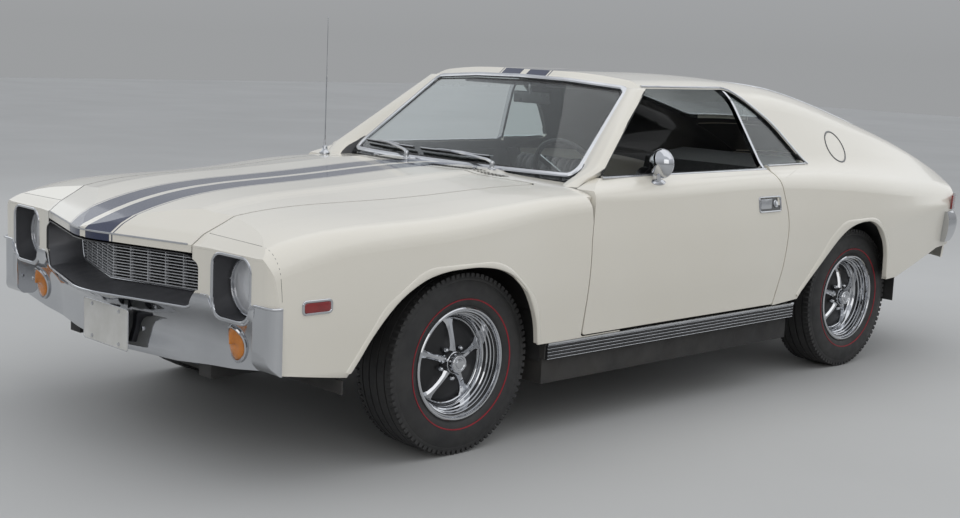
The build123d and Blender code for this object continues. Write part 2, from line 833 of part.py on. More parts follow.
def bumper_guard():
    """An upright end of the front bumper, wrapped round the fender's corner."""
    x = BUMPER_END_X + SEAT_GAP
    plan = [
        (BUMPER_BACK_X, 776),
        (2112, 776, 14),
        (2108, 862, 60),
        (2085, 888, 20),
        (x, 889),
        (x, 858),
        (BUMPER_BACK_X, 848),
    ]
    side = [(2000, 392), (2078, 392, 24), (2104, 420, 40), (2114, 480, 90), (2114, 604), (2000, 604)]
    return prism(plan, "z", 380, 640) & prism(side, "y", 700, 950)


def front_bumper():
    """A pressed bar across the nose, between two upright ends."""
    edge = [(0, 338), (330, 341, 300), (620, 366, 300), (800, 392), (1000, 392), (1000, 700), (0, 700)]
    middle = front_bumper_form() & prism(mirrored(edge, 0), "x", 1800, 2500)
    whole = fused([middle, bumper_guard(), other_side(bumper_guard())])
    return whole & below_bumper_edge()


def rear_bumper_wire(z, bulge):
    half = [
        (TAIL_X - bulge, 0, 1500),
        (-2182 - bulge, 430, 900),
        (-2140 - bulge, 720, 160),
        (-2060 - 0.6 * bulge, 846 + 0.5 * bulge, 110),
        (-1935, 876 + 0.4 * bulge),
        (-1935, 840),
        (-2000, 0),
    ]
    return rounded_wire(mirrored(half), across("z", z))


def rear_bumper():
    outer = Solid.make_loft([rear_bumper_wire(row.z, row.bulge) for row in REAR_BUMPER_ROWS])
    covered = cabin_form(-SEAT_GAP) - behind_tail(SEAT_GAP)
    return (outer - covered) & block(-HALF_LENGTH, -1800, -1000, 1000, 500, 800)


def tail_lamp():
    """A red lens that wraps a rear corner above the bumper."""
    shell = behind_tail(SEAT_GAP) - behind_tail(12)
    return shell & block(-2400, -1990, 430, 900, 700, 768)


def grille_vee(x):
    """A bar across the grille, seen from above, that stands furthest forward on the centre line."""
    end_x = x - GRILLE_VEE * GRILLE_SPREAD
    return mirrored([(x, 0), (end_x, GRILLE_SPREAD), (end_x - 9, GRILLE_SPREAD), (x - 9, 0)])


def grille():
    """A dark surround with thin bars in a shallow V."""
    lip = prism(grille_outline(SEAT_GAP), "x", GRILLE_BACK_X, 2300)
    lip = lip - prism(grille_outline(8), "x", GRILLE_BACK_X + 6, 2400) - ahead_of_nose(-3)
    lip = lip - below_bumper_edge(SEAT_GAP)
    low = 600.0
    high = 705.0
    backing = prism(grille_vee(GRILLE_X - 20), "z", low, high)
    step = (high - low) / GRILLE_BARS
    levels = [low + step * i for i in range(GRILLE_BARS)]
    bars = [prism(grille_vee(GRILLE_X), "z", level, level + 4) for level in levels]
    ribs = []
    for y in range(-450, 451, 100):
        x = GRILLE_X - GRILLE_VEE * abs(y)
        ribs.append(block(x - 30, x - 1, y - 1.5, y + 1.5, low, high))
    return fused([lip, backing, *bars, *ribs])


def headlamp_bezel():
    """The dark bucket and its bright rim round one headlamp."""
    rim = prism(lamp_outline(SEAT_GAP), "x", LAMP_BACK_X - 6, 2300)
    return rim - prism(lamp_outline(4), "x", LAMP_BACK_X, 2400) - ahead_of_nose()


def headlamp():
    lens = [(0, 0), (0, LAMP_RADIUS), (14, LAMP_RADIUS), (26, 60, 60), (32, 0)]
    return turned(lens, (LAMP_BACK_X + SEAT_GAP, LAMP_Y, LAMP_Z), (1, 0, 0))


def turn_signal():
    """A tilted oval lens on the bumper's face."""
    oval = prism([(614, 498, 27), (670, 498, 27), (670, 406, 27), (614, 406, 27)], "x", 2050, 2300)
    oval = oval.rotate(Axis((0, 642, 452), (1, 0, 0)), -16)
    return (oval & front_bumper_form(6)) - front_bumper_form(SEAT_GAP)


def side_marker():
    room = block(1892, 1994, 850, 920, 581, 613)
    return (room & nose_form(-5)) - nose_form(-SEAT_GAP)


def rocker_moulding():
    """A bright strip with dark ribs along the sill."""
    profile = [(855 + SEAT_GAP, 296), (876, 296, 4)]
    for i in range(4):
        z = 301 + 12 * i
        profile += [(880, z + 2), (880, z + 8), (876, z + 10)]
    profile += [(882, 351), (882, 360), (855 + SEAT_GAP, 360)]
    return prism(profile, "x", -656, 890)


def mud_flaps():
    """The left pair, hung inside the wheelhouses behind the tyres."""
    front = block(899 + SEAT_GAP, 903 + SEAT_GAP, 700, 850, 290, 465)
    return front, block(-1545, -1541, 690, 845, 280, 423.7)


def engine():
    """The engine and gearbox as plain masses."""
    half = [(150, 770), (280, 700), (260, 480), (150, 300)]
    motor = prism(mirrored(half, 0), "x", 1000, 1640)
    box = prism([(-95, 262), (-95, 400), (95, 400), (95, 262)], "x", 300, 999.7)
    radiator = block(1996 + SEAT_GAP, 2018, -350, 350, 322, 708)
    return motor, box, radiator


def front_suspension():
    """Crossmember with its lower arms, and the upper arms on the aprons."""
    beam = block(1225, 1315, -466, 466, 210, 299.7)
    pieces = []
    for side in (1, -1):
        beam = beam + bar((FRONT_AXLE_X, 440 * side, 225), (FRONT_AXLE_X, STEER_Y * side, 192), 13)
        beam = beam + bar((FRONT_AXLE_X, STEER_Y * side, 182), (FRONT_AXLE_X, STEER_Y * side, 212), 12)
        upper = bar((FRONT_AXLE_X, 472.3 * side, 460), (FRONT_AXLE_X, STEER_Y * side, 447), 9)
        upper = upper + bar((FRONT_AXLE_X, STEER_Y * side, 432), (FRONT_AXLE_X, STEER_Y * side, 462), 13)
        pieces.append(upper)
    return beam, *pieces


def knuckle():
    """The left upright with its spindle and steering arm."""
    x = FRONT_AXLE_X
    drum_back = FRONT_WHEEL_Y - DRUM_DEPTH
    upright = bar((x, STEER_Y, 212 + SEAT_GAP), (x, STEER_Y, 432 - SEAT_GAP), 14)
    spindle = bar((x, STEER_Y, HUB_HEIGHT), (x, FRONT_WHEEL_Y + 20, HUB_HEIGHT), SPINDLE_RADIUS)
    plate = bar((x, drum_back - 4, HUB_HEIGHT), (x, drum_back - 1, HUB_HEIGHT), 136)
    arm = block(x - STEER_ARM - 12, x, STEER_Y - STEER_ARM_INNER, STEER_Y - 3, 240, 256)
    return fused([upright, spindle, plate, arm])


def steering_linkage():
    x = FRONT_AXLE_X - STEER_ARM
    end = STEER_Y - STEER_ARM_INNER + 10
    return bar((x, -end, 230), (x, end, 230), 9.7)


LEAF_OUTLINE = [
    (-700, 345), (-950, 249, 500), (-1440, 249, 500), (-1700, 345), (-1700, 379.7), (-1675, 379.7),
    (-1665, 352), (-1440, 269.7, 500), (-950, 269.7, 500), (-735, 352), (-725, 379.7), (-700, 379.7),
]


def rear_axle():
    """Axle beam, differential and drive shaft, with leaf springs in solids of their own."""
    z = HUB_HEIGHT
    half = REAR_WHEEL_Y - DRUM_DEPTH
    beam = bar((REAR_AXLE_X, -half + SEAT_GAP, z), (REAR_AXLE_X, half - SEAT_GAP, z), 38)
    stub = bar((REAR_AXLE_X, -REAR_WHEEL_Y - 20, z), (REAR_AXLE_X, REAR_WHEEL_Y + 20, z), SPINDLE_RADIUS)
    case = turned([(-105, 45), (-60, 100, 40), (60, 100, 40), (105, 45)], (REAR_AXLE_X, 0, z))
    beam = fused([beam, stub, case]) + bar((REAR_AXLE_X + 60, 0, z), (REAR_AXLE_X + 190, 0, z), 48)
    shaft = bar((REAR_AXLE_X + 190 + SEAT_GAP, 0, z), (300 - SEAT_GAP, 0, z + 6), 36)
    springs = []
    for side in (1, -1):
        low, high = sorted((465 * side, 520 * side))
        beam = beam + block(REAR_AXLE_X - 45, REAR_AXLE_X + 45, low, high, 270, z - 20)
        springs.append(prism(LEAF_OUTLINE, "y", low, high))
    return beam, shaft, *springs


def pipe(route, bend):
    path = FilletPolyline(*route, radius=bend)
    ring = Wire.make_circle(25, Plane(origin=path @ 0, z_dir=path % 0))
    return Solid.sweep(Face(ring), Wire(path.edges()))


def exhaust():
    """One pipe and muffler of the pair."""
    front = pipe([(960, 262, 300), (940, 262, 190), (800, 300, 178), (-180, 330, 178)], 60)
    muffler = bar((-180, 330, 178), (-600, 330, 178), 48)
    over_axle = TRUNK_FLOOR_Z - 25 - SEAT_GAP
    tail_route = [
        (-600, 330, 178), (-720, 340, 190), (-900, 412, over_axle),
        (-1440, 412, over_axle), (-1800, 412, 270), (-2190, 412, 255),
    ]
    return fused([front, muffler, pipe(tail_route, 70)])


def fuel_tank():
    return prism([(-2070, 300, 30), (-1480, 300, 30), (-1480, 439.7), (-2070, 439.7)], "y", -370, 370)


def dashboard(grow=0.0):
    outline = [
        (792 - SEAT_GAP, 640), (792 - SEAT_GAP, 850), (700, 868, 20), (500, 880 + grow, 25),
        (466 - grow, 840, 15), (500 - grow, 760, 30), (560 - grow, 640),
    ]
    return prism(outline, "y", -698, 698)


def steering_wheel():
    """Rim, spokes, hub and column."""
    tilt = radians(24)
    axis = Vector(-cos(tilt), 0, sin(tilt))
    centre = Vector(255, 370, 862)
    plane = Plane(origin=centre, z_dir=axis)
    rim = plane.location * Solid.make_torus(190, 11)
    hub = plane.location * Solid.make_cylinder(38, 30)
    spokes = [plane.location * Rot(0, 0, turn) * block(20, 184, -14, 14, 4, 10) for turn in (0, 120, 240)]
    column = bar(tuple(centre), tuple(centre - axis * 260), 24)
    return fused([rim, hub, *spokes, column]) - dashboard(SEAT_GAP)


def seat():
    """The left bucket seat: its base, cushion and back."""
    base = block(-300, 130, 200, 560, FLOOR_Z + PLATE + SEAT_GAP, 320)
    cushion_outline = [(-330, 320.3), (170, 320.3), (180, 400, 40), (150, 455, 40), (-300, 430, 30)]
    cushion = prism(cushion_outline, "y", 150, 610)
    back_outline = [
        (-330, 428, 20), (-240, 434.6, 20), (-330, 700, 200),
        (-390, 915, 40), (-470, 905, 40), (-440, 700, 200),
    ]
    back = prism(back_outline, "y", 150, 610)
    return base, cushion, back


def console():
    outline = [(-380, 430.3), (560, 430.3), (560, 560, 60), (440, 560, 60), (380, 500, 60), (-380, 500, 40)]
    return prism(outline, "y", -85, 85)


def rear_shelf():
    """The carpeted load floor behind the seats and the shelf below the rear window."""
    top = TRUNK_FLOOR_Z + PLATE + SEAT_GAP
    outline = [
        (-640, top),
        (-640, top + 60),
        (-1240, top + 60),
        (-1330, 860),
        (-1640, 900),
        (-1640, 888),
        (-1342, 846),
        (-1262, top + 48),
        (-1262, top),
    ]
    return prism(outline, "y", -548, 548)


def number_plate():
    """The front number plate, left blank, on its pad."""
    pad = block(2120, 2160, -100, 100, 372, 462)
    return (pad + block(2160, 2163.5, -149, 149, 344, 488)) - front_bumper_form(SEAT_GAP)


WiperRow = namedtuple("WiperRow", "pivot blade_start blade_end")
WIPERS = [
    WiperRow((672, 330), (628, 250), (636, -150)),
    WiperRow((690, -160), (628, -200), (595, -600)),
]


def wipers():
    """Each wiper's post, arm and parked blade."""
    height = 952.0
    pieces = []
    for row in WIPERS:
        middle = [(a + b) / 2 for a, b in zip(row.blade_start, row.blade_end)]
        post = bar((*row.pivot, 900), (*row.pivot, height + 4), 9) - nose_form(-SEAT_GAP)
        arm = bar((*row.pivot, height), (*middle, height), 4)
        blade = bar((*row.blade_start, height), (*row.blade_end, height), 5)
        pieces.append(fused([post.solids().sort_by(Axis.Z)[-1], arm, blade]))
    return pieces


def antenna():
    base = bar((697, -700, 880), (697, -700, 930), 11) - nose_form(-SEAT_GAP)
    mast = bar((697, -700, 929), (697, -700, 1240), 2.5)
    tip = bar((697, -700, 1239), (697, -700, 1500), 1.6)
    return fused([base.solids().sort_by(Axis.Z)[-1], mast, tip])


def wheel():
    """A five-spoke wheel about the Y axis, outer side towards +Y, with its brake drum behind."""
    lip = RIM_LIP_RADIUS
    seat_radius = RIM_SEAT_RADIUS
    half = RIM_HALF_WIDTH
    rim = turned(
        [
            (half, lip), (half - 8, lip), (half - 8, seat_radius), (32, seat_radius),
            (22, 160), (-22, 160), (-32, seat_radius), (8 - half, seat_radius),
            (8 - half, lip), (-half, lip), (-half, lip - 6), (3 - half, 172),
            (-27, 172), (-17, 154), (17, 154), (27, 164),
            (50, 164), (62, 172), (70, 176), (half, lip - 5),
        ]
    )
    disc = turned([(4, 28), (4, 110), (6, 157), (17, 157), (21, 148), (34, 110), (44, 64), (44, 28)])
    window = prism([(0, 70, 14), (50, 140, 20), (0, 149, 60), (-50, 140, 20)], "y", -20, 100)
    for i in range(SPOKES):
        disc = disc - Rot(0, (i + 0.5) * 360 / SPOKES, 0) * window
    cap = turned([(44, 0), (44, 34), (74, 30, 6), (80, 0)])
    bore = SPINDLE_RADIUS + BEARING_GAP
    drum = turned([(3.7, bore), (3.7, DRUM_RADIUS), (-DRUM_DEPTH, DRUM_RADIUS), (-DRUM_DEPTH, bore)])
    return fused([rim, disc, cap]), drum


def tyre():
    inner = RIM_SEAT_RADIUS + SEAT_GAP
    bead = RIM_HALF_WIDTH - 8 - SEAT_GAP
    half = [
        (bead, inner), (bead, 205), (92, 222, 20), (TYRE_HALF_WIDTH, 255, 40),
        (93, 302, 30), (78, 316, 12), (45, TYRE_RADIUS, 200),
    ]
    other = [(-point[0], *point[1:]) for point in reversed(half)]
    return turned(half + other)


def save_wheel(place, x, y):
    rim, drum = wheel()
    left = Pos(x, y, HUB_HEIGHT)
    save_pair(f"wheel_{place}", left * rim, left * drum)
    save_pair(f"tyre_{place}", left * tyre())


def main():
    forms = body_forms()
    save_pair("fender", fender(forms))
    save("nose_panel", nose_panel(forms))
    save("hood", hood(forms))
    save("cowl_panel", cowl(forms))
    save("roof_panel", roof(forms))
    save_pair("quarter_panel", quarter(forms))
    save("deck_panel", deck_strip(forms))
    save("trunk_lid", trunk_lid(forms))
    save("tail_panel", *tail_panel(forms))
    save_pair("door", door(forms))
    save_pair("door_handle", door_handle(forms))
    save_pair("door_glass", door_glass())
    save("door_mirror", door_mirror(forms))
    save("windshield", windshield())
    save("rear_window", rear_window())
    sheet, upright = quarter_window()
    save("quarter_windows", sheet, other_side(sheet))
    save("window_uprights", upright, other_side(upright))
    save("underbody", *underbody())
    save("wheelhouses", *wheelhouses(forms))
    save("door_frames", *door_frames(forms))
    save("front_bumper", front_bumper())
    save("rear_bumper", rear_bumper())
    for node, piece in (
        ("tail_lamps", tail_lamp()),
        ("headlamp_bezels", headlamp_bezel()),
        ("headlamps", headlamp()),
        ("turn_signals", turn_signal()),
        ("side_markers", side_marker()),
        ("rocker_mouldings", rocker_moulding()),
        ("exhaust", exhaust()),
    ):
        save(node, piece, other_side(piece))
    front_flap, rear_flap = mud_flaps()
    save("mud_flaps", front_flap, rear_flap, other_side(front_flap), other_side(rear_flap))
    save("grille", grille())
    save("engine", *engine())
    save("front_suspension", *front_suspension())
    save_pair("knuckle", knuckle())
    save("steering_linkage", steering_linkage())
    save("rear_axle", *rear_axle())
    save("fuel_tank", fuel_tank())
    save("dashboard", dashboard())
    save("steering_wheel", steering_wheel())
    save_pair("seat", *seat())
    save("console", console())
    save("rear_shelf", rear_shelf())
    save("number_plate", number_plate())
    save("wipers", *wipers())
    save("antenna", antenna())
    save_wheel("front", FRONT_AXLE_X, FRONT_WHEEL_Y)
    save_wheel("rear", REAR_AXLE_X, REAR_WHEEL_Y)


main()
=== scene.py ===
from math import cos, exp, hypot, pi, radians, sin, sqrt, tan

import bmesh
import bpy
from mathutils import Matrix, Vector
from mathutils.bvhtree import BVHTree


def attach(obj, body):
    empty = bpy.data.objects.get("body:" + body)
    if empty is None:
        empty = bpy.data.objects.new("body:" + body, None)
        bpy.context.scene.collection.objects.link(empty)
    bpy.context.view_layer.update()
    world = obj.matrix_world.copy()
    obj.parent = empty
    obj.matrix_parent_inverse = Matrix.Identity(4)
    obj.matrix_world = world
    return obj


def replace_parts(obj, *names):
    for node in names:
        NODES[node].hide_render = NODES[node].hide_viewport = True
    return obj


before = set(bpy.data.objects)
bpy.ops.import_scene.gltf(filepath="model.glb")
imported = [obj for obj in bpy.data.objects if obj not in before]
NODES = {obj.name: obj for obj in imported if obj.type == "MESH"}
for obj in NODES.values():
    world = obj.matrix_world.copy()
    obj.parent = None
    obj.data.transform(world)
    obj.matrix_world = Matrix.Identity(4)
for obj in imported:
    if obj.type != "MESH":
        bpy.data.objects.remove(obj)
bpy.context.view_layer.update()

# Sizes in metres, in the frame's own axes: +X to the nose, +Y left, +Z up.
TYRE_RADIUS = 0.321
WHEEL_PLACES = {
    "front_left": (1.270, 0.741), "front_right": (1.270, -0.741),
    "rear_left": (-1.194, 0.724), "rear_right": (-1.194, -0.724),
}
SIDES = ("left", "right")
STRIPE = (0.018, 0.132)
PINSTRIPE = (0.141, 0.146)
FORWARD, BACK = (1, 0, 0), (-1, 0, 0)
LEFT, RIGHT = (0, 1, 0), (0, -1, 0)
UP, DOWN = (0, 0, 1), (0, 0, -1)

# Rays that look for a CAD surface start beyond the nose or tail, beyond the left side, or above the car.
FAR_X = 2.6
FAR_Y = 1.3
FAR_Z = 1.4


# ---- Shapes ----

def mesh_piece(name, vertices, faces, material, body="body", slot=None, smooth=True, sharp=35):
    """A mesh object that rides on a body. Its slot argument is not used."""
    mesh = bpy.data.meshes.new(name)
    mesh.from_pydata([tuple(v) for v in vertices], [], faces)
    mesh.update()
    work = bmesh.new()
    work.from_mesh(mesh)
    bmesh.ops.remove_doubles(work, verts=work.verts, dist=1e-6)
    bmesh.ops.recalc_face_normals(work, faces=work.faces)
    for face in work.faces:
        face.smooth = smooth
    for edge in work.edges:
        if len(edge.link_faces) == 2 and edge.calc_face_angle(0) > radians(sharp):
            edge.smooth = False
    work.to_mesh(mesh)
    work.free()
    piece = bpy.data.objects.new(name, mesh)
    bpy.context.scene.collection.objects.link(piece)
    mesh.materials.append(material)
    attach(piece, body)
    return piece


def joined(parts):
    """Vertices and faces of several parts as one."""
    vertices, faces = [], []
    for part_vertices, part_faces in parts:
        start = len(vertices)
        vertices += list(part_vertices)
        faces += [tuple(i + start for i in face) for face in part_faces]
    return vertices, faces


def moved(part, matrix):
    """A part with a matrix applied to its points."""
    vertices, faces = part
    return [matrix @ Vector(v) for v in vertices], faces


def turns(count):
    """Even angles round a full turn."""
    return [2 * pi * k / count for k in range(count)]


def lathe(profile, segments=96, closed=False):
    """A profile of (along, radius) points spun about the Y axis."""
    vertices, faces = [], []
    rows = len(profile)
    for turn in turns(segments):
        vertices += [(radius * cos(turn), along, radius * sin(turn)) for along, radius in profile]
    spans = rows if closed else rows - 1
    for i in range(segments):
        here, following = i * rows, (i + 1) % segments * rows
        for j in range(spans):
            k = (j + 1) % rows
            faces.append((here + j, here + k, following + k, following + j))
    return vertices, faces


def rounded(points, steps=6):
    """A closed outline of (u, v, corner radius) points, with its corners as arcs."""
    result = []
    count = len(points)
    for i, point in enumerate(points):
        u, v = point[:2]
        radius = point[2] if len(point) > 2 else 0
        back = Vector((points[i - 1][0] - u, points[i - 1][1] - v)).normalized()
        ahead = Vector((points[(i + 1) % count][0] - u, points[(i + 1) % count][1] - v)).normalized()
        half = 0.5 * back.angle(ahead)
        if radius <= 0 or pi / 2 - half < 1e-3:
            result.append(Vector((u, v)))
            continue
        tangent = radius / tan(half)
        centre = Vector((u, v)) + (back + ahead).normalized() * hypot(tangent, radius)
        start = Vector((u, v)) + back * tangent - centre
        end = Vector((u, v)) + ahead * tangent - centre
        sweep_angle = start.angle_signed(end)
        for k in range(steps + 1):
            turn = -sweep_angle * k / steps
            spun = Vector((start.x * cos(turn) - start.y * sin(turn), start.x * sin(turn) + start.y * cos(turn)))
            result.append(centre + spun)
    return result


def rounded_rectangle(low, high, radius, steps):
    """A rectangle between two corners, each as (u, v), with its corners as arcs."""
    return rounded([(low[0], low[1], radius), (high[0], low[1], radius), (high[0], high[1], radius),
                    (low[0], high[1], radius)], steps)


def resampled(points, count, closed=False):
    """A path of a given number of evenly spaced points."""
    points = [Vector(p) for p in points]
    if closed:
        points = points + [points[0]]
    total = sum((b - a).length for a, b in zip(points, points[1:]))
    result = []
    index, passed = 0, 0.0
    for i in range(count):
        target = total * i / (count if closed else count - 1)
        while index < len(points) - 2 and passed + (points[index + 1] - points[index]).length < target - 1e-9:
            passed += (points[index + 1] - points[index]).length
            index += 1
        length = (points[index + 1] - points[index]).length
        share = (target - passed) / length if length else 0
        result.append(points[index].lerp(points[index + 1], min(1, max(0, share))))
    return result


def eased(points, steps=6):
    """A smooth line through points."""
    points = [Vector(p) for p in points]
    ends = [2 * points[0] - points[1]] + points + [2 * points[-1] - points[-2]]
    result = []
    for a, b, c, d in zip(ends, ends[1:], ends[2:], ends[3:]):
        for k in range(steps):
            t = k / steps
            bend = (2 * a - 5 * b + 4 * c - d) * t**2 + (3 * b - a - 3 * c + d) * t**3
            result.append(0.5 * (2 * b + (c - a) * t + bend))
    return result + [points[-1]]


def spaced(points, spacing, closed=False):
    """A path with its points about a given distance apart."""
    loop = list(points) + [points[0]] if closed else list(points)
    total = sum((Vector(b) - Vector(a)).length for a, b in zip(loop, loop[1:]))
    return resampled(points, max(3, round(total / spacing)), closed)


def swept(path, profile, ups, closed=False):
    """A closed profile of (side, up) points carried along a path. Its up follows the vectors given."""
    path = [Vector(p) for p in path]
    if isinstance(ups, (tuple, Vector)):
        ups = [ups] * len(path)
    vertices, faces = [], []
    count, rows = len(path), len(profile)
    for i, point in enumerate(path):
        before = path[i - 1] if closed or i else path[i]
        after = path[(i + 1) % count] if closed or i < count - 1 else path[i]
        tangent = (after - before).normalized()
        up = Vector(ups[i])
        up = (up - tangent * up.dot(tangent)).normalized()
        side = tangent.cross(up)
        for s, u in profile:
            vertices.append(point + side * s + up * u)
    for i in range(count if closed else count - 1):
        here, following = i * rows, (i + 1) % count * rows
        for j in range(rows):
            k = (j + 1) % rows
            faces.append((here + j, here + k, following + k, following + j))
    if not closed:
        faces.append(tuple(range(rows)))
        faces.append(tuple(range((count - 1) * rows, count * rows)))
    return vertices, faces


def lofted(rings, closed=True, capped=False):
    """Faces between rings of equal length, and over both ends when capped."""
    count = len(rings[0])
    vertices = [Vector(v) for ring in rings for v in ring]
    faces = []
    for i in range(len(rings) - 1):
        for j in range(count if closed else count - 1):
            k = (j + 1) % count
            faces.append((i * count + j, i * count + k, (i + 1) * count + k, (i + 1) * count + j))
    if capped:
        faces.append(tuple(range(count)))
        faces.append(tuple(range((len(rings) - 1) * count, len(rings) * count)))
    return vertices, faces


def round_profile(radius, steps=12, up=None):
    """A circle, or an oval with its own height."""
    up = up or radius
    return [(radius * cos(turn), up * sin(turn)) for turn in turns(steps)]


def trim_profile(width, height, sink=0.001):
    """A low crowned strip that sits in the surface."""
    half = width / 2
    return [(-half, -sink), (half, -sink), (half, height * 0.45), (half * 0.55, height), (-half * 0.55, height),
            (-half, height * 0.45)]


def bevelled_box(low, high, radius=0.002, segments=2):
    """A box between two corners, with bevelled edges."""
    work = bmesh.new()
    bmesh.ops.create_cube(work, size=1)
    low, high = Vector(low), Vector(high)
    for vertex in work.verts:
        vertex.co = Vector([low[i] + (vertex.co[i] + 0.5) * (high[i] - low[i]) for i in range(3)])
    bmesh.ops.bevel(work, geom=list(work.edges), offset=radius, segments=segments, affect="EDGES", profile=0.5)
    vertices = [v.co.copy() for v in work.verts]
    work.verts.index_update()
    faces = [tuple(v.index for v in face.verts) for face in work.faces]
    work.free()
    return vertices, faces


def plate(outline, place, thickness, direction):
    """A flat plate from an outline, placed by a function of (u, v) and pushed along a direction."""
    front = [Vector(place(*p)) for p in outline]
    push = Vector(direction) * thickness
    count = len(front)
    vertices = front + [v + push for v in front]
    faces = [tuple(range(count)), tuple(range(2 * count - 1, count - 1, -1))]
    faces += [(i, (i + 1) % count, (i + 1) % count + count, i + count) for i in range(count)]
    return vertices, faces


TREES = {}


def meets(node, start, direction):
    """Where a ray meets a CAD node, and the surface's normal there, which faces the ray, or nothing."""
    if node not in TREES:
        mesh = NODES[node].data
        TREES[node] = BVHTree.FromPolygons([v.co.copy() for v in mesh.vertices],
                                           [tuple(p.vertices) for p in mesh.polygons])
    place, normal, _, _ = TREES[node].ray_cast(Vector(start), Vector(direction).normalized())
    if place is not None and normal.dot(Vector(direction)) > 0:
        normal = -normal
    return place, normal


def laid_on(nodes, starts, direction):
    """Points and normals where rays meet the first of several nodes."""
    points, normals = [], []
    for start in starts:
        hits = [hit for hit in (meets(node, start, direction) for node in nodes) if hit[0] is not None]
        if hits:
            place, normal = min(hits, key=lambda hit: (hit[0] - Vector(start)).length)
            points.append(place)
            normals.append(normal)
    return points, normals


def mirror_part(part):
    """A part mirrored in the car's middle plane."""
    vertices, faces = part
    return [Vector((v[0], -v[1], v[2])) for v in vertices], [tuple(reversed(face)) for face in faces]


def whole(half):
    """A left half and its mirror image as one part."""
    return joined([half, mirror_part(half)])


def both_sides(name, part, material, bodies="body", slot=None, replaces=None, **options):
    """A left piece and its mirror image, each on its own body. The left one stands for a CAD node of both sides."""
    for side, shape in (("left", part), ("right", mirror_part(part))):
        piece = mesh_piece(f"{name}_{side}", *shape, material, bodies.format(side=side), slot, **options)
        if replaces and side == "left":
            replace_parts(piece, replaces)


# ---- Materials ----

def link(tree, source, target):
    tree.links.new(source, target)


def maths(tree, operation, *values):
    """A math node on values or sockets."""
    node = tree.nodes.new("ShaderNodeMath")
    node.operation = operation
    for socket, value in zip(node.inputs, values):
        if isinstance(value, (int, float)):
            socket.default_value = value
        else:
            link(tree, value, socket)
    return node.outputs[0]


def object_place(tree):
    """The texture coordinates, and a point's own X, Y and Z."""
    coordinates = tree.nodes.new("ShaderNodeTexCoord")
    split = tree.nodes.new("ShaderNodeSeparateXYZ")
    link(tree, coordinates.outputs["Object"], split.inputs[0])
    return coordinates, split


def noise(tree, coordinates, scale, detail=3.0):
    """Soft noise between 0 and 1."""
    texture = tree.nodes.new("ShaderNodeTexNoise")
    texture.inputs["Scale"].default_value = scale
    texture.inputs["Detail"].default_value = detail
    link(tree, coordinates.outputs["Object"], texture.inputs["Vector"])
    return texture.outputs["Fac"]


def ranged(tree, value, low, high):
    """The middle part of a noise value spread over a range."""
    node = tree.nodes.new("ShaderNodeMapRange")
    node.inputs["From Min"].default_value = 0.3
    node.inputs["From Max"].default_value = 0.7
    node.inputs["To Min"].default_value = low
    node.inputs["To Max"].default_value = high
    link(tree, value, node.inputs["Value"])
    return node.outputs["Result"]


def mixed(tree, factor, first, second):
    """Two colours mixed by a factor."""
    node = tree.nodes.new("ShaderNodeMix")
    node.data_type = "RGBA"
    link(tree, factor, node.inputs["Factor"])
    for socket, value in ((node.inputs[6], first), (node.inputs[7], second)):
        if isinstance(value, tuple):
            socket.default_value = (*value, 1.0)
        else:
            link(tree, value, socket)
    return node.outputs[2]


def bumped(tree, height, strength, distance):
    """A fine bump from a height."""
    node = tree.nodes.new("ShaderNodeBump")
    node.inputs["Strength"].default_value = strength
    node.inputs["Distance"].default_value = distance
    link(tree, height, node.inputs["Height"])
    return node.outputs["Normal"]


def surface(name, color, second=None, rough=(0.4, 0.5), metallic=0.0, patch=8.0, bump=None, **sockets):
    """A node material: two tones in soft patches, a roughness range, and a fine bump (strength, distance, scale)."""
    material = bpy.data.materials.new(name)
    material.use_nodes = True
    tree = material.node_tree
    shader = tree.nodes["Principled BSDF"]
    coordinates = object_place(tree)[0]
    second = second or tuple(c * 0.86 for c in color)
    tones = ranged(tree, noise(tree, coordinates, patch), 0.0, 1.0)
    link(tree, mixed(tree, tones, color, second), shader.inputs["Base Color"])
    wear = noise(tree, coordinates, patch * 3.1, 4.0)
    link(tree, ranged(tree, wear, *rough), shader.inputs["Roughness"])
    shader.inputs["Metallic"].default_value = metallic
    if bump:
        strength, distance, scale = bump
        link(tree, bumped(tree, noise(tree, coordinates, scale, 2.0), strength, distance), shader.inputs["Normal"])
    for socket, value in sockets.items():
        shader.inputs[socket.replace("_", " ")].default_value = value
    return material


CREAM = (0.80, 0.765, 0.68)
CREAM_DEEP = (0.765, 0.725, 0.635)
STRIPE_BLUE = (0.007, 0.014, 0.050)
LINING = (0.022, 0.022, 0.023)
LINING_REACH = 0.835
LINING_LOW = 0.60
FLUTES = 220.0


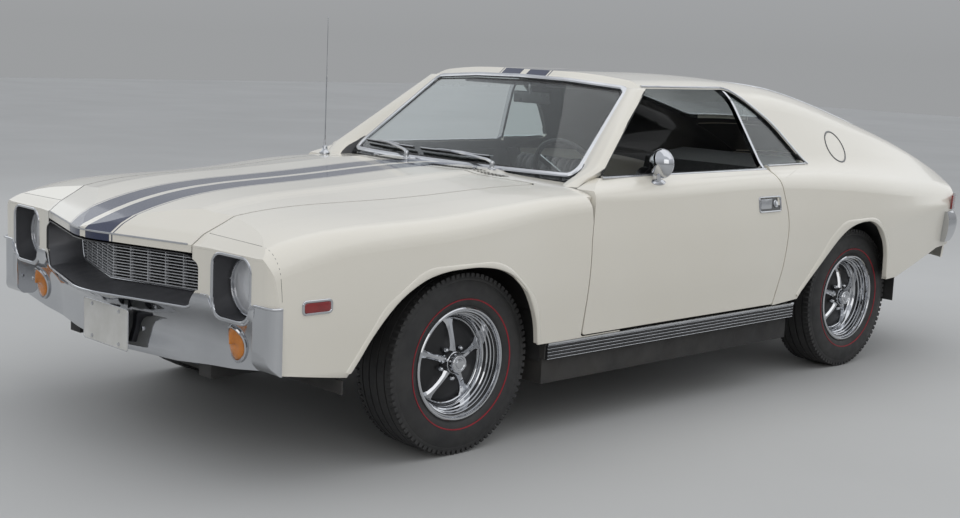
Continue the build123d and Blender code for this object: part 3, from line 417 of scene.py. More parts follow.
def body_paint(name, striped, lined=False):
    """Glossy cream paint. Striped panels carry two blue bands along the car and a thin line outside each.
    Lined panels are black where they face into the cabin."""
    material = surface(name, CREAM, CREAM_DEEP, rough=(0.20, 0.26), patch=1.3,
                       bump=(0.03, 0.0004, 260.0), Coat_Weight=0.6, Coat_Roughness=0.05)
    tree = material.node_tree
    shader = tree.nodes["Principled BSDF"]
    coordinates, split = object_place(tree)
    across = maths(tree, "ABSOLUTE", split.outputs["Y"])
    base = shader.inputs["Base Color"].links[0].from_socket
    if striped:
        band, line = [maths(tree, "MULTIPLY", maths(tree, "GREATER_THAN", across, low),
                            maths(tree, "LESS_THAN", across, high)) for low, high in (STRIPE, PINSTRIPE)]
        shade = noise(tree, coordinates, 3.0)
        blue = mixed(tree, shade, STRIPE_BLUE, tuple(c * 1.5 for c in STRIPE_BLUE))
        base = mixed(tree, maths(tree, "MAXIMUM", band, line), base, blue)
    if lined:
        facing = tree.nodes.new("ShaderNodeSeparateXYZ")
        link(tree, coordinates.outputs["Normal"], facing.inputs[0])
        outward = maths(tree, "MULTIPLY", split.outputs["Y"], facing.outputs["Y"])
        sideways = maths(tree, "MULTIPLY", outward, 2.0)
        inward = maths(tree, "LESS_THAN", maths(tree, "ADD", sideways, facing.outputs["Z"]), -0.05)
        inboard = maths(tree, "LESS_THAN", across, LINING_REACH)
        above = maths(tree, "GREATER_THAN", split.outputs["Z"], LINING_LOW)
        inside = maths(tree, "MULTIPLY", maths(tree, "MULTIPLY", inward, inboard), above)
        base = mixed(tree, inside, base, LINING)
        dull = maths(tree, "MULTIPLY", inside, 0.5)
        rough = shader.inputs["Roughness"].links[0].from_socket
        link(tree, maths(tree, "ADD", rough, dull), shader.inputs["Roughness"])
    link(tree, base, shader.inputs["Base Color"])
    return material


def lens(name, color):
    """Coloured lens plastic with fine flutes."""
    material = surface(name, color, tuple(c * 0.7 for c in color), rough=(0.05, 0.11), patch=20.0,
                       IOR=1.49, Coat_Weight=1.0, Coat_Roughness=0.03, Transmission_Weight=0.25)
    tree = material.node_tree
    split = object_place(tree)[1]
    waves = maths(tree, "SINE", maths(tree, "MULTIPLY", split.outputs["Y"], FLUTES * 2 * pi))
    link(tree, bumped(tree, waves, 0.35, 0.001), tree.nodes["Principled BSDF"].inputs["Normal"])
    return material


PAINT = body_paint("cream_paint", striped=False, lined=True)
PAINT_STRIPED = body_paint("cream_paint_striped", striped=True, lined=True)
CHROME = surface("polished_chrome", (0.60, 0.61, 0.63), (0.54, 0.55, 0.57), rough=(0.03, 0.09), metallic=1.0,
                 patch=5.0, bump=(0.02, 0.0005, 40.0))
GRILLE_BRIGHT = surface("grille_bright", (0.78, 0.79, 0.81), rough=(0.30, 0.38), metallic=0.6, patch=12.0)
BRIGHT = surface("bright_trim", (0.66, 0.67, 0.69), rough=(0.14, 0.24), metallic=1.0, patch=12.0)
BLACK_PAINT = surface("satin_black", (0.018, 0.018, 0.019), (0.03, 0.03, 0.031), rough=(0.4, 0.6), patch=6.0,
                      bump=(0.1, 0.0006, 90.0))
GLOSS_BLACK = surface("gloss_black", (0.012, 0.012, 0.013), (0.02, 0.02, 0.022), rough=(0.18, 0.3), patch=9.0,
                      Coat_Weight=0.6, Coat_Roughness=0.08)
WHEEL_BLACK = surface("wheel_black", (0.008, 0.008, 0.009), (0.012, 0.012, 0.013), rough=(0.38, 0.5), patch=9.0,
                      bump=(0.08, 0.0005, 120.0))
# Near-black matte: the dark joint of the fender seam, and painted shade on the grille's back sheet, the cowl slots
# and the exhaust bores.
SHADOW = surface("dark_joint_and_painted_shade", (0.004, 0.004, 0.004), (0.006, 0.006, 0.006), rough=(0.85, 0.95), patch=20.0)
LAMP_SILVER = surface("lamp_silver", (0.86, 0.86, 0.87), (0.80, 0.80, 0.82), rough=(0.25, 0.32), metallic=0.9,
                      patch=12.0)
PAINT_PLAIN = body_paint("cream_paint_plain", striped=False)
UNDERBODY = surface("underbody_black", (0.02, 0.02, 0.021), (0.045, 0.042, 0.038), rough=(0.6, 0.85), patch=4.0,
                    bump=(0.4, 0.002, 60.0))
RUBBER = surface("black_rubber", (0.02, 0.02, 0.02), (0.035, 0.034, 0.033), rough=(0.55, 0.8), patch=14.0,
                 bump=(0.2, 0.0006, 180.0))
TYRE = surface("tyre_rubber", (0.022, 0.022, 0.023), (0.036, 0.035, 0.034), rough=(0.5, 0.72), patch=9.0,
               bump=(0.22, 0.0006, 240.0))
REDLINE = surface("redline_rubber", (0.32, 0.008, 0.02), (0.22, 0.008, 0.016), rough=(0.45, 0.6), patch=30.0)
VINYL = surface("black_vinyl", (0.018, 0.018, 0.019), (0.028, 0.027, 0.027), rough=(0.38, 0.52), patch=7.0,
                bump=(0.25, 0.0005, 420.0))
CARPET = surface("black_carpet", (0.016, 0.016, 0.017), (0.035, 0.034, 0.034), rough=(0.9, 1.0), patch=60.0,
                 bump=(0.8, 0.003, 500.0), Sheen_Weight=0.3)
STEEL = surface("dull_steel", (0.34, 0.34, 0.35), (0.22, 0.19, 0.16), rough=(0.4, 0.65), metallic=1.0, patch=7.0,
                bump=(0.2, 0.0008, 120.0))
ENGINE_IRON = surface("cast_iron", (0.10, 0.12, 0.15), (0.07, 0.08, 0.10), rough=(0.5, 0.75), metallic=0.3, patch=8.0,
                      bump=(0.5, 0.002, 130.0))
GLASS = surface("window_glass", (0.90, 0.96, 0.95), (0.873, 0.9312, 0.9215), rough=(0.0, 0.015), patch=2.0, IOR=1.45,
                Transmission_Weight=1.0)
# Headlamp lens: the flutes are real. Its pale, partly opaque white tone is a painted reflection of the bright bowl
# behind clear glass.
LAMP_GLASS = surface("lamp_glass", (0.90, 0.91, 0.93), (0.82, 0.83, 0.86), rough=(0.06, 0.12), patch=30.0, IOR=1.5,
                     Transmission_Weight=0.35, Coat_Weight=1.0, Coat_Roughness=0.03, bump=(0.5, 0.0012, 160.0))
AMBER = lens("amber_lens", (0.95, 0.30, 0.010))
RED_LENS = lens("red_lens", (0.34, 0.006, 0.008))
DARK_GREY = surface("dark_grey_surround", (0.080, 0.082, 0.088), (0.10, 0.10, 0.107), rough=(0.33, 0.45), patch=8.0,
                    metallic=0.35)
PLATE_WHITE = surface("plate_paint", (0.72, 0.71, 0.68), (0.62, 0.61, 0.57), rough=(0.35, 0.5), patch=15.0)


def dress(material, *nodes):
    """Gives CAD nodes a material."""
    for node in nodes:
        slots = NODES[node].data.materials
        if not slots:
            slots.append(material)
        for i in range(len(slots)):
            slots[i] = material


dress(PAINT, "fender_left", "fender_right", "nose_panel", "quarter_panel_left", "quarter_panel_right",
      "door_left", "door_right")
dress(PAINT_STRIPED, "hood", "cowl_panel", "roof_panel", "deck_panel", "trunk_lid", "tail_panel")
dress(UNDERBODY, "underbody", "wheelhouses", "door_frames", "front_suspension", "knuckle_left", "knuckle_right",
      "steering_linkage", "rear_axle")
dress(CHROME, "front_bumper", "rear_bumper", "door_handle_left", "door_handle_right", "door_mirror",
      "window_uprights", "headlamp_bezels", "antenna")
dress(GLASS, "windshield", "rear_window", "quarter_windows", "door_glass_left", "door_glass_right")
dress(LAMP_GLASS, "headlamps")
dress(BLACK_PAINT, "grille", "rocker_mouldings", "steering_wheel")
dress(AMBER, "turn_signals")
dress(RED_LENS, "tail_lamps", "side_markers")
dress(RUBBER, "mud_flaps", "wipers")
dress(ENGINE_IRON, "engine")
dress(STEEL, "exhaust", "fuel_tank")
dress(VINYL, "dashboard", "seat_left", "seat_right", "console")
dress(CARPET, "rear_shelf")
dress(PLATE_WHITE, "number_plate")


# ---- Wheels and tyres ----

SPOKES = 5


def tyre_profile():
    """Half of a tyre's section with ribs on its sidewall and grooves in its tread, then its mirror image."""
    side = [(0.074, 0.179), (0.080, 0.194), (0.0835, 0.198), (0.0835, 0.203), (0.087, 0.206), (0.0925, 0.216),
            (0.0955, 0.226), (0.0975, 0.240), (0.0975, 0.256), (0.0960, 0.272), (0.0925, 0.288), (0.0895, 0.293),
            (0.0900, 0.299), (0.0860, 0.307), (0.0790, 0.3135)]
    tread = []
    for centre in (0.056, 0.019):
        half, deep = 0.0035, 0.007
        crown = TYRE_RADIUS - 0.0035 * (centre / 0.07) ** 2
        tread += [(centre + half, crown), (centre + half * 0.7, crown - deep), (centre - half * 0.7, crown - deep),
                  (centre - half, crown)]
    half_section = side + [(0.0735, 0.3170)] + tread
    return half_section + [(-a, r) for a, r in reversed(half_section)]


def tread_blocks(count=84):
    """Raised blocks round both shoulders."""
    parts = []
    for turn in turns(count):
        for side in (1, -1):
            inner, outer = sorted((0.060 * side, 0.088 * side))
            block = bevelled_box((-0.0075, inner, 0.302), (0.0075, outer, 0.3185), 0.0012, 1)
            parts.append(moved(block, Matrix.Rotation(turn + 0.5 * side * pi / count, 4, "Y")))
    return joined(parts)


def spoke(turn):
    """One spoke: narrow at the hub, flaring out to the rim."""
    stations = [(0.036, 0.048, 0.017), (0.060, 0.046, 0.0115), (0.085, 0.040, 0.010), (0.110, 0.032, 0.011),
                (0.132, 0.024, 0.016), (0.150, 0.018, 0.032)]
    rings = []
    for radius, along, half in stations:
        rings.append([(half * s, along + a, radius) for s, a in (
            (-1, -0.022), (-1, -0.004), (-0.45, 0.004), (0.45, 0.004), (1, -0.004), (1, -0.022))])
    return moved(lofted(rings, capped=True), Matrix.Rotation(turn, 4, "Y"))


def acorn(along, radius, turn):
    """A wheel nut with a rounded end."""
    nut = [(0, 0.0), (0, 0.0095), (0.010, 0.0095), (0.014, 0.0085), (0.020, 0.0065), (0.024, 0.0030), (0.025, 0.0)]
    shape = lathe([(a + along, r) for a, r in nut], 18)
    return moved(shape, Matrix.Rotation(turn, 4, "Y") @ Matrix.Translation((0, 0, radius)))


def wheel_parts():
    """The left wheel's pieces about its own centre, outer side towards +Y: name, part and material."""
    ring = [(0.088, 0.1985), (0.0905, 0.195), (0.0900, 0.190), (0.084, 0.187), (0.080, 0.1865), (0.080, 0.1825),
            (0.070, 0.1805), (0.068, 0.1765), (0.058, 0.1745), (0.056, 0.1705), (0.046, 0.1685), (0.043, 0.1645),
            (0.030, 0.1625), (0.026, 0.1585), (0.016, 0.1560), (0.008, 0.1500), (0.002, 0.150), (0.002, 0.157),
            (0.014, 0.1615), (0.074, 0.184), (0.080, 0.1985)]
    pocket = [(0.006, 0.152), (0.010, 0.148), (0.016, 0.118), (0.020, 0.090), (0.024, 0.070), (0.030, 0.052),
              (0.034, 0.036), (0.030, 0.030), (0.0, 0.030), (0.0, 0.152)]
    hub = [(0.030, 0.0), (0.030, 0.050), (0.038, 0.048), (0.048, 0.043), (0.056, 0.038), (0.062, 0.036), (0.062, 0.0)]
    cap = [(0.060, 0.0), (0.060, 0.0335), (0.074, 0.0335), (0.080, 0.0325), (0.0835, 0.0295), (0.0835, 0.0235),
           (0.0810, 0.0215), (0.0810, 0.0175), (0.0850, 0.0150), (0.0865, 0.0080), (0.0868, 0.0)]
    collar = [(0.052, 0.039), (0.060, 0.0385), (0.0615, 0.0365), (0.052, 0.035)]
    barrel = [(0.080, 0.1905), (-0.080, 0.1905), (-0.080, 0.186), (-0.074, 0.176), (-0.030, 0.174), (-0.020, 0.160),
              (0.004, 0.157), (0.020, 0.165), (0.074, 0.186)]
    spokes = joined([spoke(turn) for turn in turns(SPOKES)])
    nuts = joined([acorn(0.032, 0.057, turn + pi / SPOKES) for turn in turns(SPOKES)])
    edge = lathe([(0.0175, 0.1525), (0.0195, 0.1500), (0.0175, 0.1475), (0.0155, 0.1500)], 96, True)
    return [
        ("trim_ring", lathe(ring, 120, True), CHROME), ("pockets", lathe(pocket, 96, True), WHEEL_BLACK),
        ("hub", lathe(hub, 60), WHEEL_BLACK), ("cap", lathe(cap, 72), CHROME),
        ("collar", lathe(collar, 72, True), CHROME), ("barrel", lathe(barrel, 96, True), BLACK_PAINT),
        ("spokes", spokes, CHROME), ("nuts", nuts, CHROME), ("pocket_edge", edge, CHROME),
        ("drum", drum_part(), BLACK_PAINT),
    ]


def drum_part():
    """The finned brake drum behind the wheel."""
    profile = [(0.0035, 0.0155), (0.0035, 0.126), (-0.004, 0.134), (-0.010, 0.138)]
    for i in range(6):
        along = -0.014 - 0.007 * i
        profile += [(along, 0.138), (along - 0.002, 0.134), (along - 0.005, 0.134), (along - 0.006, 0.138)]
    profile += [(-0.0575, 0.138), (-0.0575, 0.0155)]
    return lathe(profile, 72, True)


def wheels():
    """Each wheel and tyre on its own body. The right ones are the left ones mirrored."""
    redline = lathe([(0.0935, 0.2255), (0.0968, 0.2262), (0.0978, 0.2300), (0.0940, 0.2310)], 144, True)
    tyres = [("tyre", lathe(tyre_profile(), 144, True), TYRE), ("tread", tread_blocks(), TYRE),
             ("redline", redline, REDLINE)]
    kinds = (("wheel", "wheel_{}_{}", wheel_parts(), "wheel_chrome"), ("tyre", "{}_detail_{}", tyres, "tyre_rubber"))
    for place, (x, y) in WHEEL_PLACES.items():
        put = Matrix.Translation((x, y, TYRE_RADIUS))
        for kind, label, parts, slot in kinds:
            pieces = []
            for name, part, material in parts:
                shape = moved(part if y > 0 else mirror_part(part), put)
                pieces.append(mesh_piece(label.format(name, place), *shape, material, f"{place}_wheel", slot))
            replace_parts(pieces[0], f"{kind}_{place}")


wheels()


# ---- Shapes that follow the body ----

def nose_x(y):
    """The nose face's plan line."""
    a = abs(y)
    if a < 0.0966:
        return 2.25046 - a * a / 0.66
    if a < 0.5:
        return 2.2643 - 0.2926 * a
    return 2.118 - 0.02667 * (a - 0.5)


def by_angle(outline, centre, count):
    """Points of a closed convex outline at even angles about a centre."""
    result = []
    centre = Vector(centre)
    for turn in turns(count):
        ray = Vector((cos(turn), sin(turn)))
        for a, b in zip(outline, outline[1:] + outline[:1]):
            run, gap = b - a, a - centre
            cross = ray.x * run.y - ray.y * run.x
            if abs(cross) < 1e-12:
                continue
            along = (gap.x * run.y - gap.y * run.x) / cross
            share = (gap.x * ray.y - gap.y * ray.x) / cross
            if along > 0 and -1e-9 <= share <= 1 + 1e-9:
                result.append(centre + ray * along)
                break
    return result


def aimed(part, place, direction):
    """A part made about the Y axis, turned so that Y points along a direction, and moved."""
    turn = Vector(LEFT).rotation_difference(Vector(direction)).to_matrix().to_4x4()
    return moved(part, Matrix.Translation(place) @ turn)


def mirrored_path(half, index=0):
    """A closed outline from its left half, whose ends lie on the centre line."""
    right = []
    for point in reversed(half):
        if abs(point[index]) > 1e-9:
            flipped = list(point)
            flipped[index] = -flipped[index]
            right.append(tuple(flipped))
    return list(half) + right


def trim_along(nodes, starts, direction, width, height, closed=False):
    """A crowned strip laid where rays meet CAD nodes."""
    points, normals = laid_on(nodes, starts, direction)
    return swept(points, trim_profile(width, height), normals, closed)


# ---- Headlamps ----

LAMP_Y = 0.672
LAMP_Z = 0.637
LAMP_RING_X = 2.040
LAMP_LENS_RADIUS = 0.0871
LAMP_LENS_RISE = 0.018


def lamp_edge(margin, count):
    """A headlamp opening's outline at even angles, in Y and Z."""
    half, low, high = 0.102 - margin, 0.535 + margin, 0.740 - margin
    corners = [(LAMP_Y - half, low, 0.060 - margin), (LAMP_Y + half, low, 0.060 - margin),
               (LAMP_Y + half, high, 0.046 - margin), (LAMP_Y - half, high, 0.046 - margin)]
    return by_angle(rounded(corners, 8), (LAMP_Y, LAMP_Z), count)


def headlamps():
    """Each lamp in its recess: bucket and rim, a ring with screws, and a lens over a bowl and shield."""
    count = 96
    edge = lamp_edge(0.0015, count)
    circle = [Vector((LAMP_Y + u, LAMP_Z + v)) for u, v in round_profile(0.0975, count)]
    rings = []
    for share in (0.0, 0.1, 0.3, 0.55, 0.8, 1.0):
        ring = []
        for a, b in zip(edge, circle):
            place = a.lerp(b, share**1.5)
            depth = nose_x(a.x) + (LAMP_RING_X - 0.004 - nose_x(a.x)) * share
            ring.append((depth - 0.0015, place.x, place.y))
        rings.append(ring)
    both_sides("lamp_bucket", lofted(rings), DARK_GREY, replaces="headlamp_bezels")
    rim_path = [(nose_x(p.x) - 0.0005, p.x, p.y) for p in lamp_edge(0.001, 120)]
    both_sides("lamp_rim", swept(rim_path, round_profile(0.0052, 10, 0.0050), FORWARD, closed=True), CHROME)
    ring = [(0.0, 0.0975), (0.006, 0.0975), (0.011, 0.0955), (0.013, 0.0925), (0.012, 0.0890), (0.007, 0.0872),
            (0.002, 0.0872), (0.0, 0.0880)]
    outside, inside = [[(depth + LAMP_LENS_RISE * (1 - (r / LAMP_LENS_RADIUS) ** 2), r) for r in radii]
                       for depth, radii in ((0.004, [LAMP_LENS_RADIUS * k / 10 for k in range(10, -1, -1)]),
                                            (0.001, [0.0868 * k / 10 for k in range(11)]))]
    bowl = [(-0.055 + 0.054 * (r / 0.086) ** 2, r) for r in [0.086 * k / 12 for k in range(12, -1, -1)]]
    shield = [(-0.030, 0.0), (-0.030, 0.010), (-0.012, 0.0125), (-0.004, 0.010), (-0.001, 0.005), (0.0, 0.0)]
    place = (LAMP_RING_X, LAMP_Y, LAMP_Z)
    pieces = (("lamp_ring", ring, CHROME, True, None),
              ("lamp_lens", outside + inside, LAMP_GLASS, False, "headlamps"),
              ("lamp_bowl", bowl, LAMP_SILVER, False, None),
              ("lamp_shield", shield, LAMP_SILVER, False, None))
    for name, profile, material, closed, node in pieces:
        both_sides(name, aimed(lathe(profile, 96, closed), place, FORWARD), material, replaces=node)
    ticks = []
    for turn in (0.9, 3.0, 5.1):
        centre = Vector((LAMP_RING_X + 0.012, LAMP_Y + 0.0945 * cos(turn), LAMP_Z + 0.0945 * sin(turn)))
        ticks.append(aimed(lathe([(0, 0.0045), (0.003, 0.004), (0.004, 0.0)], 16), centre, FORWARD))
    both_sides("lamp_screws", joined(ticks), BRIGHT)


headlamps()


# ---- Grille ----

GRILLE_LOW = 0.573
GRILLE_HIGH = 0.716
GRILLE_BARS = 14
GRILLE_RIB_SPACING = 0.075
GRILLE_EDGE = [(0, 0.5445), (0.4555, 0.5445, 0.014), (0.4875, 0.6025), (0.5015, 0.6065), (0.5015, 0.6875, 0.026),
               (0.4545, 0.7135, 0.060), (0, 0.7135)]
BARS_EDGE = [(0, GRILLE_LOW), (0.395, GRILLE_LOW, 0.055), (0.436, 0.690, 0.030), (0.420, GRILLE_HIGH, 0.01),
             (0, GRILLE_HIGH)]


def bars_x(y):
    """The shallow V of the grille's bars."""
    return 2.138 - 0.288 * abs(y)


def bars_half_width(z):
    """How far the grille's bars reach to the side at a height."""
    edge = rounded(BARS_EDGE, 8)
    reach = 0.0
    for a, b in zip(edge, edge[1:] + edge[:1]):
        if min(a.y, b.y) <= z <= max(a.y, b.y) and abs(a.y - b.y) > 1e-9:
            reach = max(reach, a.x + (b.x - a.x) * (z - a.y) / (b.y - a.y))
    return reach


def grille():
    """A dark funnel from the nose to the bars, the bars with their frame and ribs, and a near-black sheet behind them
    as painted shade.
    """
    count = 60
    outer = resampled([p for p in rounded(GRILLE_EDGE, 6) if p.x > -1e-6], count)
    inner = resampled([p for p in rounded(BARS_EDGE, 6) if p.x > -1e-6], count)
    rings = []
    for share in (0.0, 0.06, 0.5, 1.0):
        ring = []
        for a, b in zip(outer, inner):
            place = a.lerp(b, share)
            depth = nose_x(a.x) * (1 - share) + (bars_x(b.x) - 0.012) * share
            ring.append(Vector((depth - 0.003, place.x, place.y)))
        rings.append(ring)
    left = lofted(rings, closed=False)
    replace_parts(mesh_piece("grille_surround", *whole(left), DARK_GREY), "grille")
    lip_path = [(nose_x(p.x) - 0.001, p.x, p.y) for p in outer]
    lips = swept(lip_path, round_profile(0.0022, 8), FORWARD)
    mesh_piece("grille_lip", *whole(lips), GLOSS_BLACK)
    edge = [(bars_x(p.x) + 0.001, p.x, p.y) for p in inner]
    frame_strip = swept(edge, [(-0.0022, -0.004), (0.0022, -0.004), (0.0022, 0.003), (0.0, 0.0045), (-0.0022, 0.003)],
                        FORWARD)
    mesh_piece("grille_frame", *whole(frame_strip), BRIGHT)
    bars = []
    step = (GRILLE_HIGH - GRILLE_LOW) / GRILLE_BARS
    section = [(-0.0014, -0.010), (0.0014, -0.010), (0.0019, -0.001), (0.0012, 0.0010), (-0.0012, 0.0010),
               (-0.0019, -0.001)]
    for i in range(GRILLE_BARS):
        z = GRILLE_LOW + step * (i + 0.5)
        reach = bars_half_width(z)
        path = [(bars_x(y), y, z) for y in (-reach, -reach / 2, 0.0, reach / 2, reach)]
        bars.append(swept(path, section, FORWARD))
    mesh_piece("grille_bars", *joined(bars), GRILLE_BRIGHT, sharp=25)
    ribs = []
    for i in range(-5, 6):
        y = GRILLE_RIB_SPACING * i
        x = bars_x(y)
        ribs.append(bevelled_box((x - 0.016, y - 0.0012, GRILLE_LOW + 0.001), (x - 0.003, y + 0.0012, GRILLE_HIGH),
                                 0.0005, 1))
    mesh_piece("grille_ribs", *joined(ribs), GRILLE_BRIGHT)
    # A near-black sheet behind the bars: painted shade for the dark depth behind the grille.
    back = [[Vector((bars_x(p.x) - 0.020, p.x, p.y)) for p in inner], [Vector((bars_x(0) - 0.020, 0, 0.64))] * count]
    dark = lofted(back, closed=False)
    mesh_piece("grille_shade", *whole(dark), SHADOW, smooth=False)


grille()


# ---- Front bumper, signals and plate ----

BUMPER_EDGE = [(0, 0.546), (0.462, 0.546, 0.030), (0.492, 0.597, 0.015), (0.560, 0.597, 0.015), (0.592, 0.534, 0.045),
               (0.757, 0.534, 0.045), (0.786, 0.604, 0.015), (0.855, 0.604)]
SIGNAL_PLACE = (0.642, 0.452)
SIGNAL_TILT = -4.0
PLATE_X = 2.1632
PLATE_BOLT_Y = 0.089


def rounded_path(points, steps=6):
    """An open path with its inner corners as arcs."""
    looped = list(points) + [(points[-1][0], points[-1][1] + 9.0), (points[0][0], points[0][1] + 9.0)]
    return [p for p in rounded(looped, steps) if p.y < 5]


def bumper_x(y, z):
    """How far forward the bumper's face stands."""
    return meets("front_bumper", (FAR_X, y, z), BACK)[0].x


def bumper_bead():
    """The bright bead along the bumper's upper edge, and the bumper's bolts."""
    half = rounded_path(BUMPER_EDGE)
    path = [Vector((nose_x(p.x) - 0.0015, p.x, p.y - 0.0025)) for p in spaced(half, 0.01)]
    path += [Vector((2.106, 0.866, 0.6015)), Vector((2.096, 0.880, 0.6015)), Vector((2.074, 0.888, 0.6015))]
    bead = swept(path, round_profile(0.0048, 12), (1, 0, 0.2))
    mesh_piece("bumper_bead", *whole(bead), CHROME)
    head = lathe([(-0.001, 0.009), (0.002, 0.0085), (0.0045, 0.006), (0.0055, 0.0)], 24)
    heads = joined([aimed(head, (bumper_x(y, z), y, z), FORWARD) for y, z in ((0.155, 0.420), (0.735, 0.455))])
    mesh_piece("bumper_bolts", *whole(heads), CHROME)


def oval(share):
    """Points of a tilted oval about the signal's centre, in Y and Z."""
    y, z = SIGNAL_PLACE
    turn = radians(SIGNAL_TILT)
    return [(y + u * cos(turn) - v * sin(turn), z + u * sin(turn) + v * cos(turn))
            for u, v in round_profile(0.038 * share, 64, 0.052 * share)]


def turn_signals():
    """A crowned amber lens in a bright rim on each side of the bumper."""
    rings = []
    for share, rise in ((1.0, -0.003), (1.0, 0.005), (0.97, 0.0085), (0.9, 0.0115), (0.75, 0.0145), (0.55, 0.0165),
                        (0.3, 0.0178), (0.05, 0.0182)):
        base = [bumper_x(y, z) for y, z in oval(max(share, 0.9))]
        rings.append([(x + rise, y, z) for x, (y, z) in zip(base, oval(share))])
    both_sides("signal_lens", lofted(rings, capped=True), AMBER, replaces="turn_signals")
    path = [(bumper_x(y, z), y, z) for y, z in oval(1.09)]
    rim = swept(path, [(-0.0055, -0.002), (0.0055, -0.002), (0.005, 0.005), (0.0015, 0.0085), (-0.003, 0.0075),
                       (-0.0055, 0.003)], FORWARD, closed=True)
    both_sides("signal_rim", rim, CHROME)


def number_plate():
    """A blank plate with a pressed bead and four bolts, on two straps."""
    low, high = Vector((-0.149, 0.344)), Vector((0.149, 0.488))
    outline = rounded_rectangle(low, high, 0.010, 6)
    sheet = plate(outline, lambda y, z: (PLATE_X - 0.001, y, z), 0.0013, FORWARD)
    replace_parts(mesh_piece("front_plate", *sheet, PLATE_WHITE, smooth=False), "number_plate")
    for name, inset, radius, material in (("plate_edge", 0.0008, 0.0016, BRIGHT),
                                          ("plate_bead", 0.007, 0.0012, PLATE_WHITE)):
        margin = Vector((inset, inset))
        ring = spaced(rounded_rectangle(low + margin, high - margin, 0.010, 6), 0.008, True)
        bead = swept([(PLATE_X, p.x, p.y) for p in ring], round_profile(radius, 8), FORWARD, closed=True)
        mesh_piece(name, *bead, material, slot="plate_white")
    bolt = lathe([(0, 0.007), (0.0015, 0.007), (0.002, 0.0050), (0.0045, 0.0046), (0.005, 0.0)], 18)
    bolts = [aimed(bolt, (PLATE_X, y, z), FORWARD) for y in (-PLATE_BOLT_Y, PLATE_BOLT_Y) for z in (0.360, 0.472)]
    mesh_piece("plate_bolts", *joined(bolts), BRIGHT)
    straps = [bevelled_box((2.138, y - 0.010, 0.366), (2.1618, y + 0.010, 0.468), 0.002, 1)
              for y in (-PLATE_BOLT_Y, PLATE_BOLT_Y)]
    mesh_piece("plate_bracket", *joined(straps), DARK_GREY)


bumper_bead()
turn_signals()
number_plate()


# ---- Window trims ----

GLASS_CURVE = 2.150
GLASS_RAKE = radians(37.5)


def windshield_x(y, z):
    """Where the windshield's outer face stands, in X."""
    return 0.655 - (GLASS_CURVE - sqrt(GLASS_CURVE**2 - y * y)) - (z - 0.933) / tan(GLASS_RAKE)


def windshield_normal(y):
    """The windshield's outward direction."""
    return Vector((1, y / sqrt(GLASS_CURVE**2 - y * y), 1 / tan(GLASS_RAKE))).normalized()


def windshield_trim():
    """A bright frame round the windshield, and a rubber seal inside it."""
    half = [(0, 0.9320), (0.664, 0.9300, 0.028), (0.5600, 1.2590, 0.040), (0.27, 1.2780), (0, 1.2830)]
    outline = spaced(rounded(mirrored_path(half), 6), 0.014, True)
    middle = Vector((0, 1.10))
    for name, inset, lift, width, height, material in (
        ("windshield_trim", 0.0, 0.0005, 0.022, 0.007, BRIGHT),
        ("windshield_seal", 0.014, -0.0045, 0.009, 0.001, RUBBER),
    ):
        path, ups = [], []
        for p in outline:
            inward = middle - p
            y, z = p + Vector((inward.x / 0.66, inward.y / 0.16)).normalized() * inset
            ups.append(windshield_normal(y))
            path.append(Vector((windshield_x(y, z), y, z)) + ups[-1] * lift)
        mesh_piece(name, *swept(path, trim_profile(width, height, 0.004), ups, closed=True), material)


def rear_window_trim():
    """A bright frame round the rear window, and a rubber seal inside it."""
    around = ["roof_panel", "quarter_panel_left", "quarter_panel_right", "deck_panel", "rear_window"]
    for name, front, rear, radius, nodes, width, height, material in (
        ("rear_window_trim", (-0.796, 0.508), (-1.644, 0.524), 0.060, around, 0.018, 0.006, BRIGHT),
        ("rear_window_seal", (-0.812, 0.494), (-1.628, 0.508), 0.050, ["rear_window"], 0.012, 0.002, RUBBER),
    ):
        corners = rounded(mirrored_path([(*front, radius), (*rear, radius)], 1), 8)
        path = spaced([(p.x, p.y, 1.6) for p in corners], 0.014, True)
        mesh_piece(name, *trim_along(nodes, path, DOWN, width, height, closed=True), material)


def side_window_trim():
    """The bright frame and seal of the side windows on the body, and the belt strips on the doors."""
    path = rounded_path([(0.122, 1.268), (-0.420, 1.268, 0.125), (-0.646, 1.124, 0.400), (-0.808, 0.950)], 8)
    starts = spaced([(p.x, FAR_Y, p.y) for p in path], 0.012)
    nodes = ["roof_panel", "quarter_panel_left"]
    both_sides("side_window_trim", trim_along(nodes, starts, RIGHT, 0.011, 0.006), BRIGHT)
    path = rounded_path([(0.118, 1.260), (-0.420, 1.260, 0.118), (-0.638, 1.120, 0.400), (-0.792, 0.956)], 8)
    ring = []
    for start in spaced([(p.x, FAR_Y, p.y) for p in path], 0.012):
        hits = [meets(node, start, RIGHT)[0] for node in nodes]
        hits = [hit for hit in hits if hit is not None and hit.y > 0.5]
        if hits:
            ring.append(max(hits, key=lambda hit: hit.y))
    both_sides("side_window_seal", swept(ring, trim_profile(0.009, 0.004), (0, 1, 0.3)), RUBBER)
    points, _ = laid_on(["door_left"], spaced([(0.560, 0.80, FAR_Z), (-0.484, 0.80, FAR_Z)], 0.02), DOWN)
    strip = swept([p + Vector((0, 0.004, 0.001)) for p in points], trim_profile(0.014, 0.007), (0, 0.35, 1))
    both_sides("belt_trim", strip, BRIGHT, "{side}_door")
    wipe = swept([p + Vector((0, -0.008, 0.001)) for p in points], trim_profile(0.008, 0.006), UP)
    both_sides("belt_seal", wipe, RUBBER, "{side}_door")


windshield_trim()
rear_window_trim()
side_window_trim()


# ---- Body details ----

def seams():
    """The joint between each fender and the front cap."""
    points, normals = [], []
    centre = Vector((2.071, 0.52, 0.56))
    for i in range(46):
        turn = radians(2 + 2.6 * i)
        ray = Vector((0, cos(turn), sin(turn)))
        place, normal = meets("fender_left", centre + ray * 0.8, -ray)
        if place is not None and place.z > 0.606 and place.y > 0.476:
            points.append(place)
            normals.append(normal)
    seam = swept(points, [(-0.0008, -0.001), (0.0008, -0.001), (0.0006, 0.0002), (-0.0006, 0.0002)], normals)
    both_sides("cap_seam", seam, SHADOW)


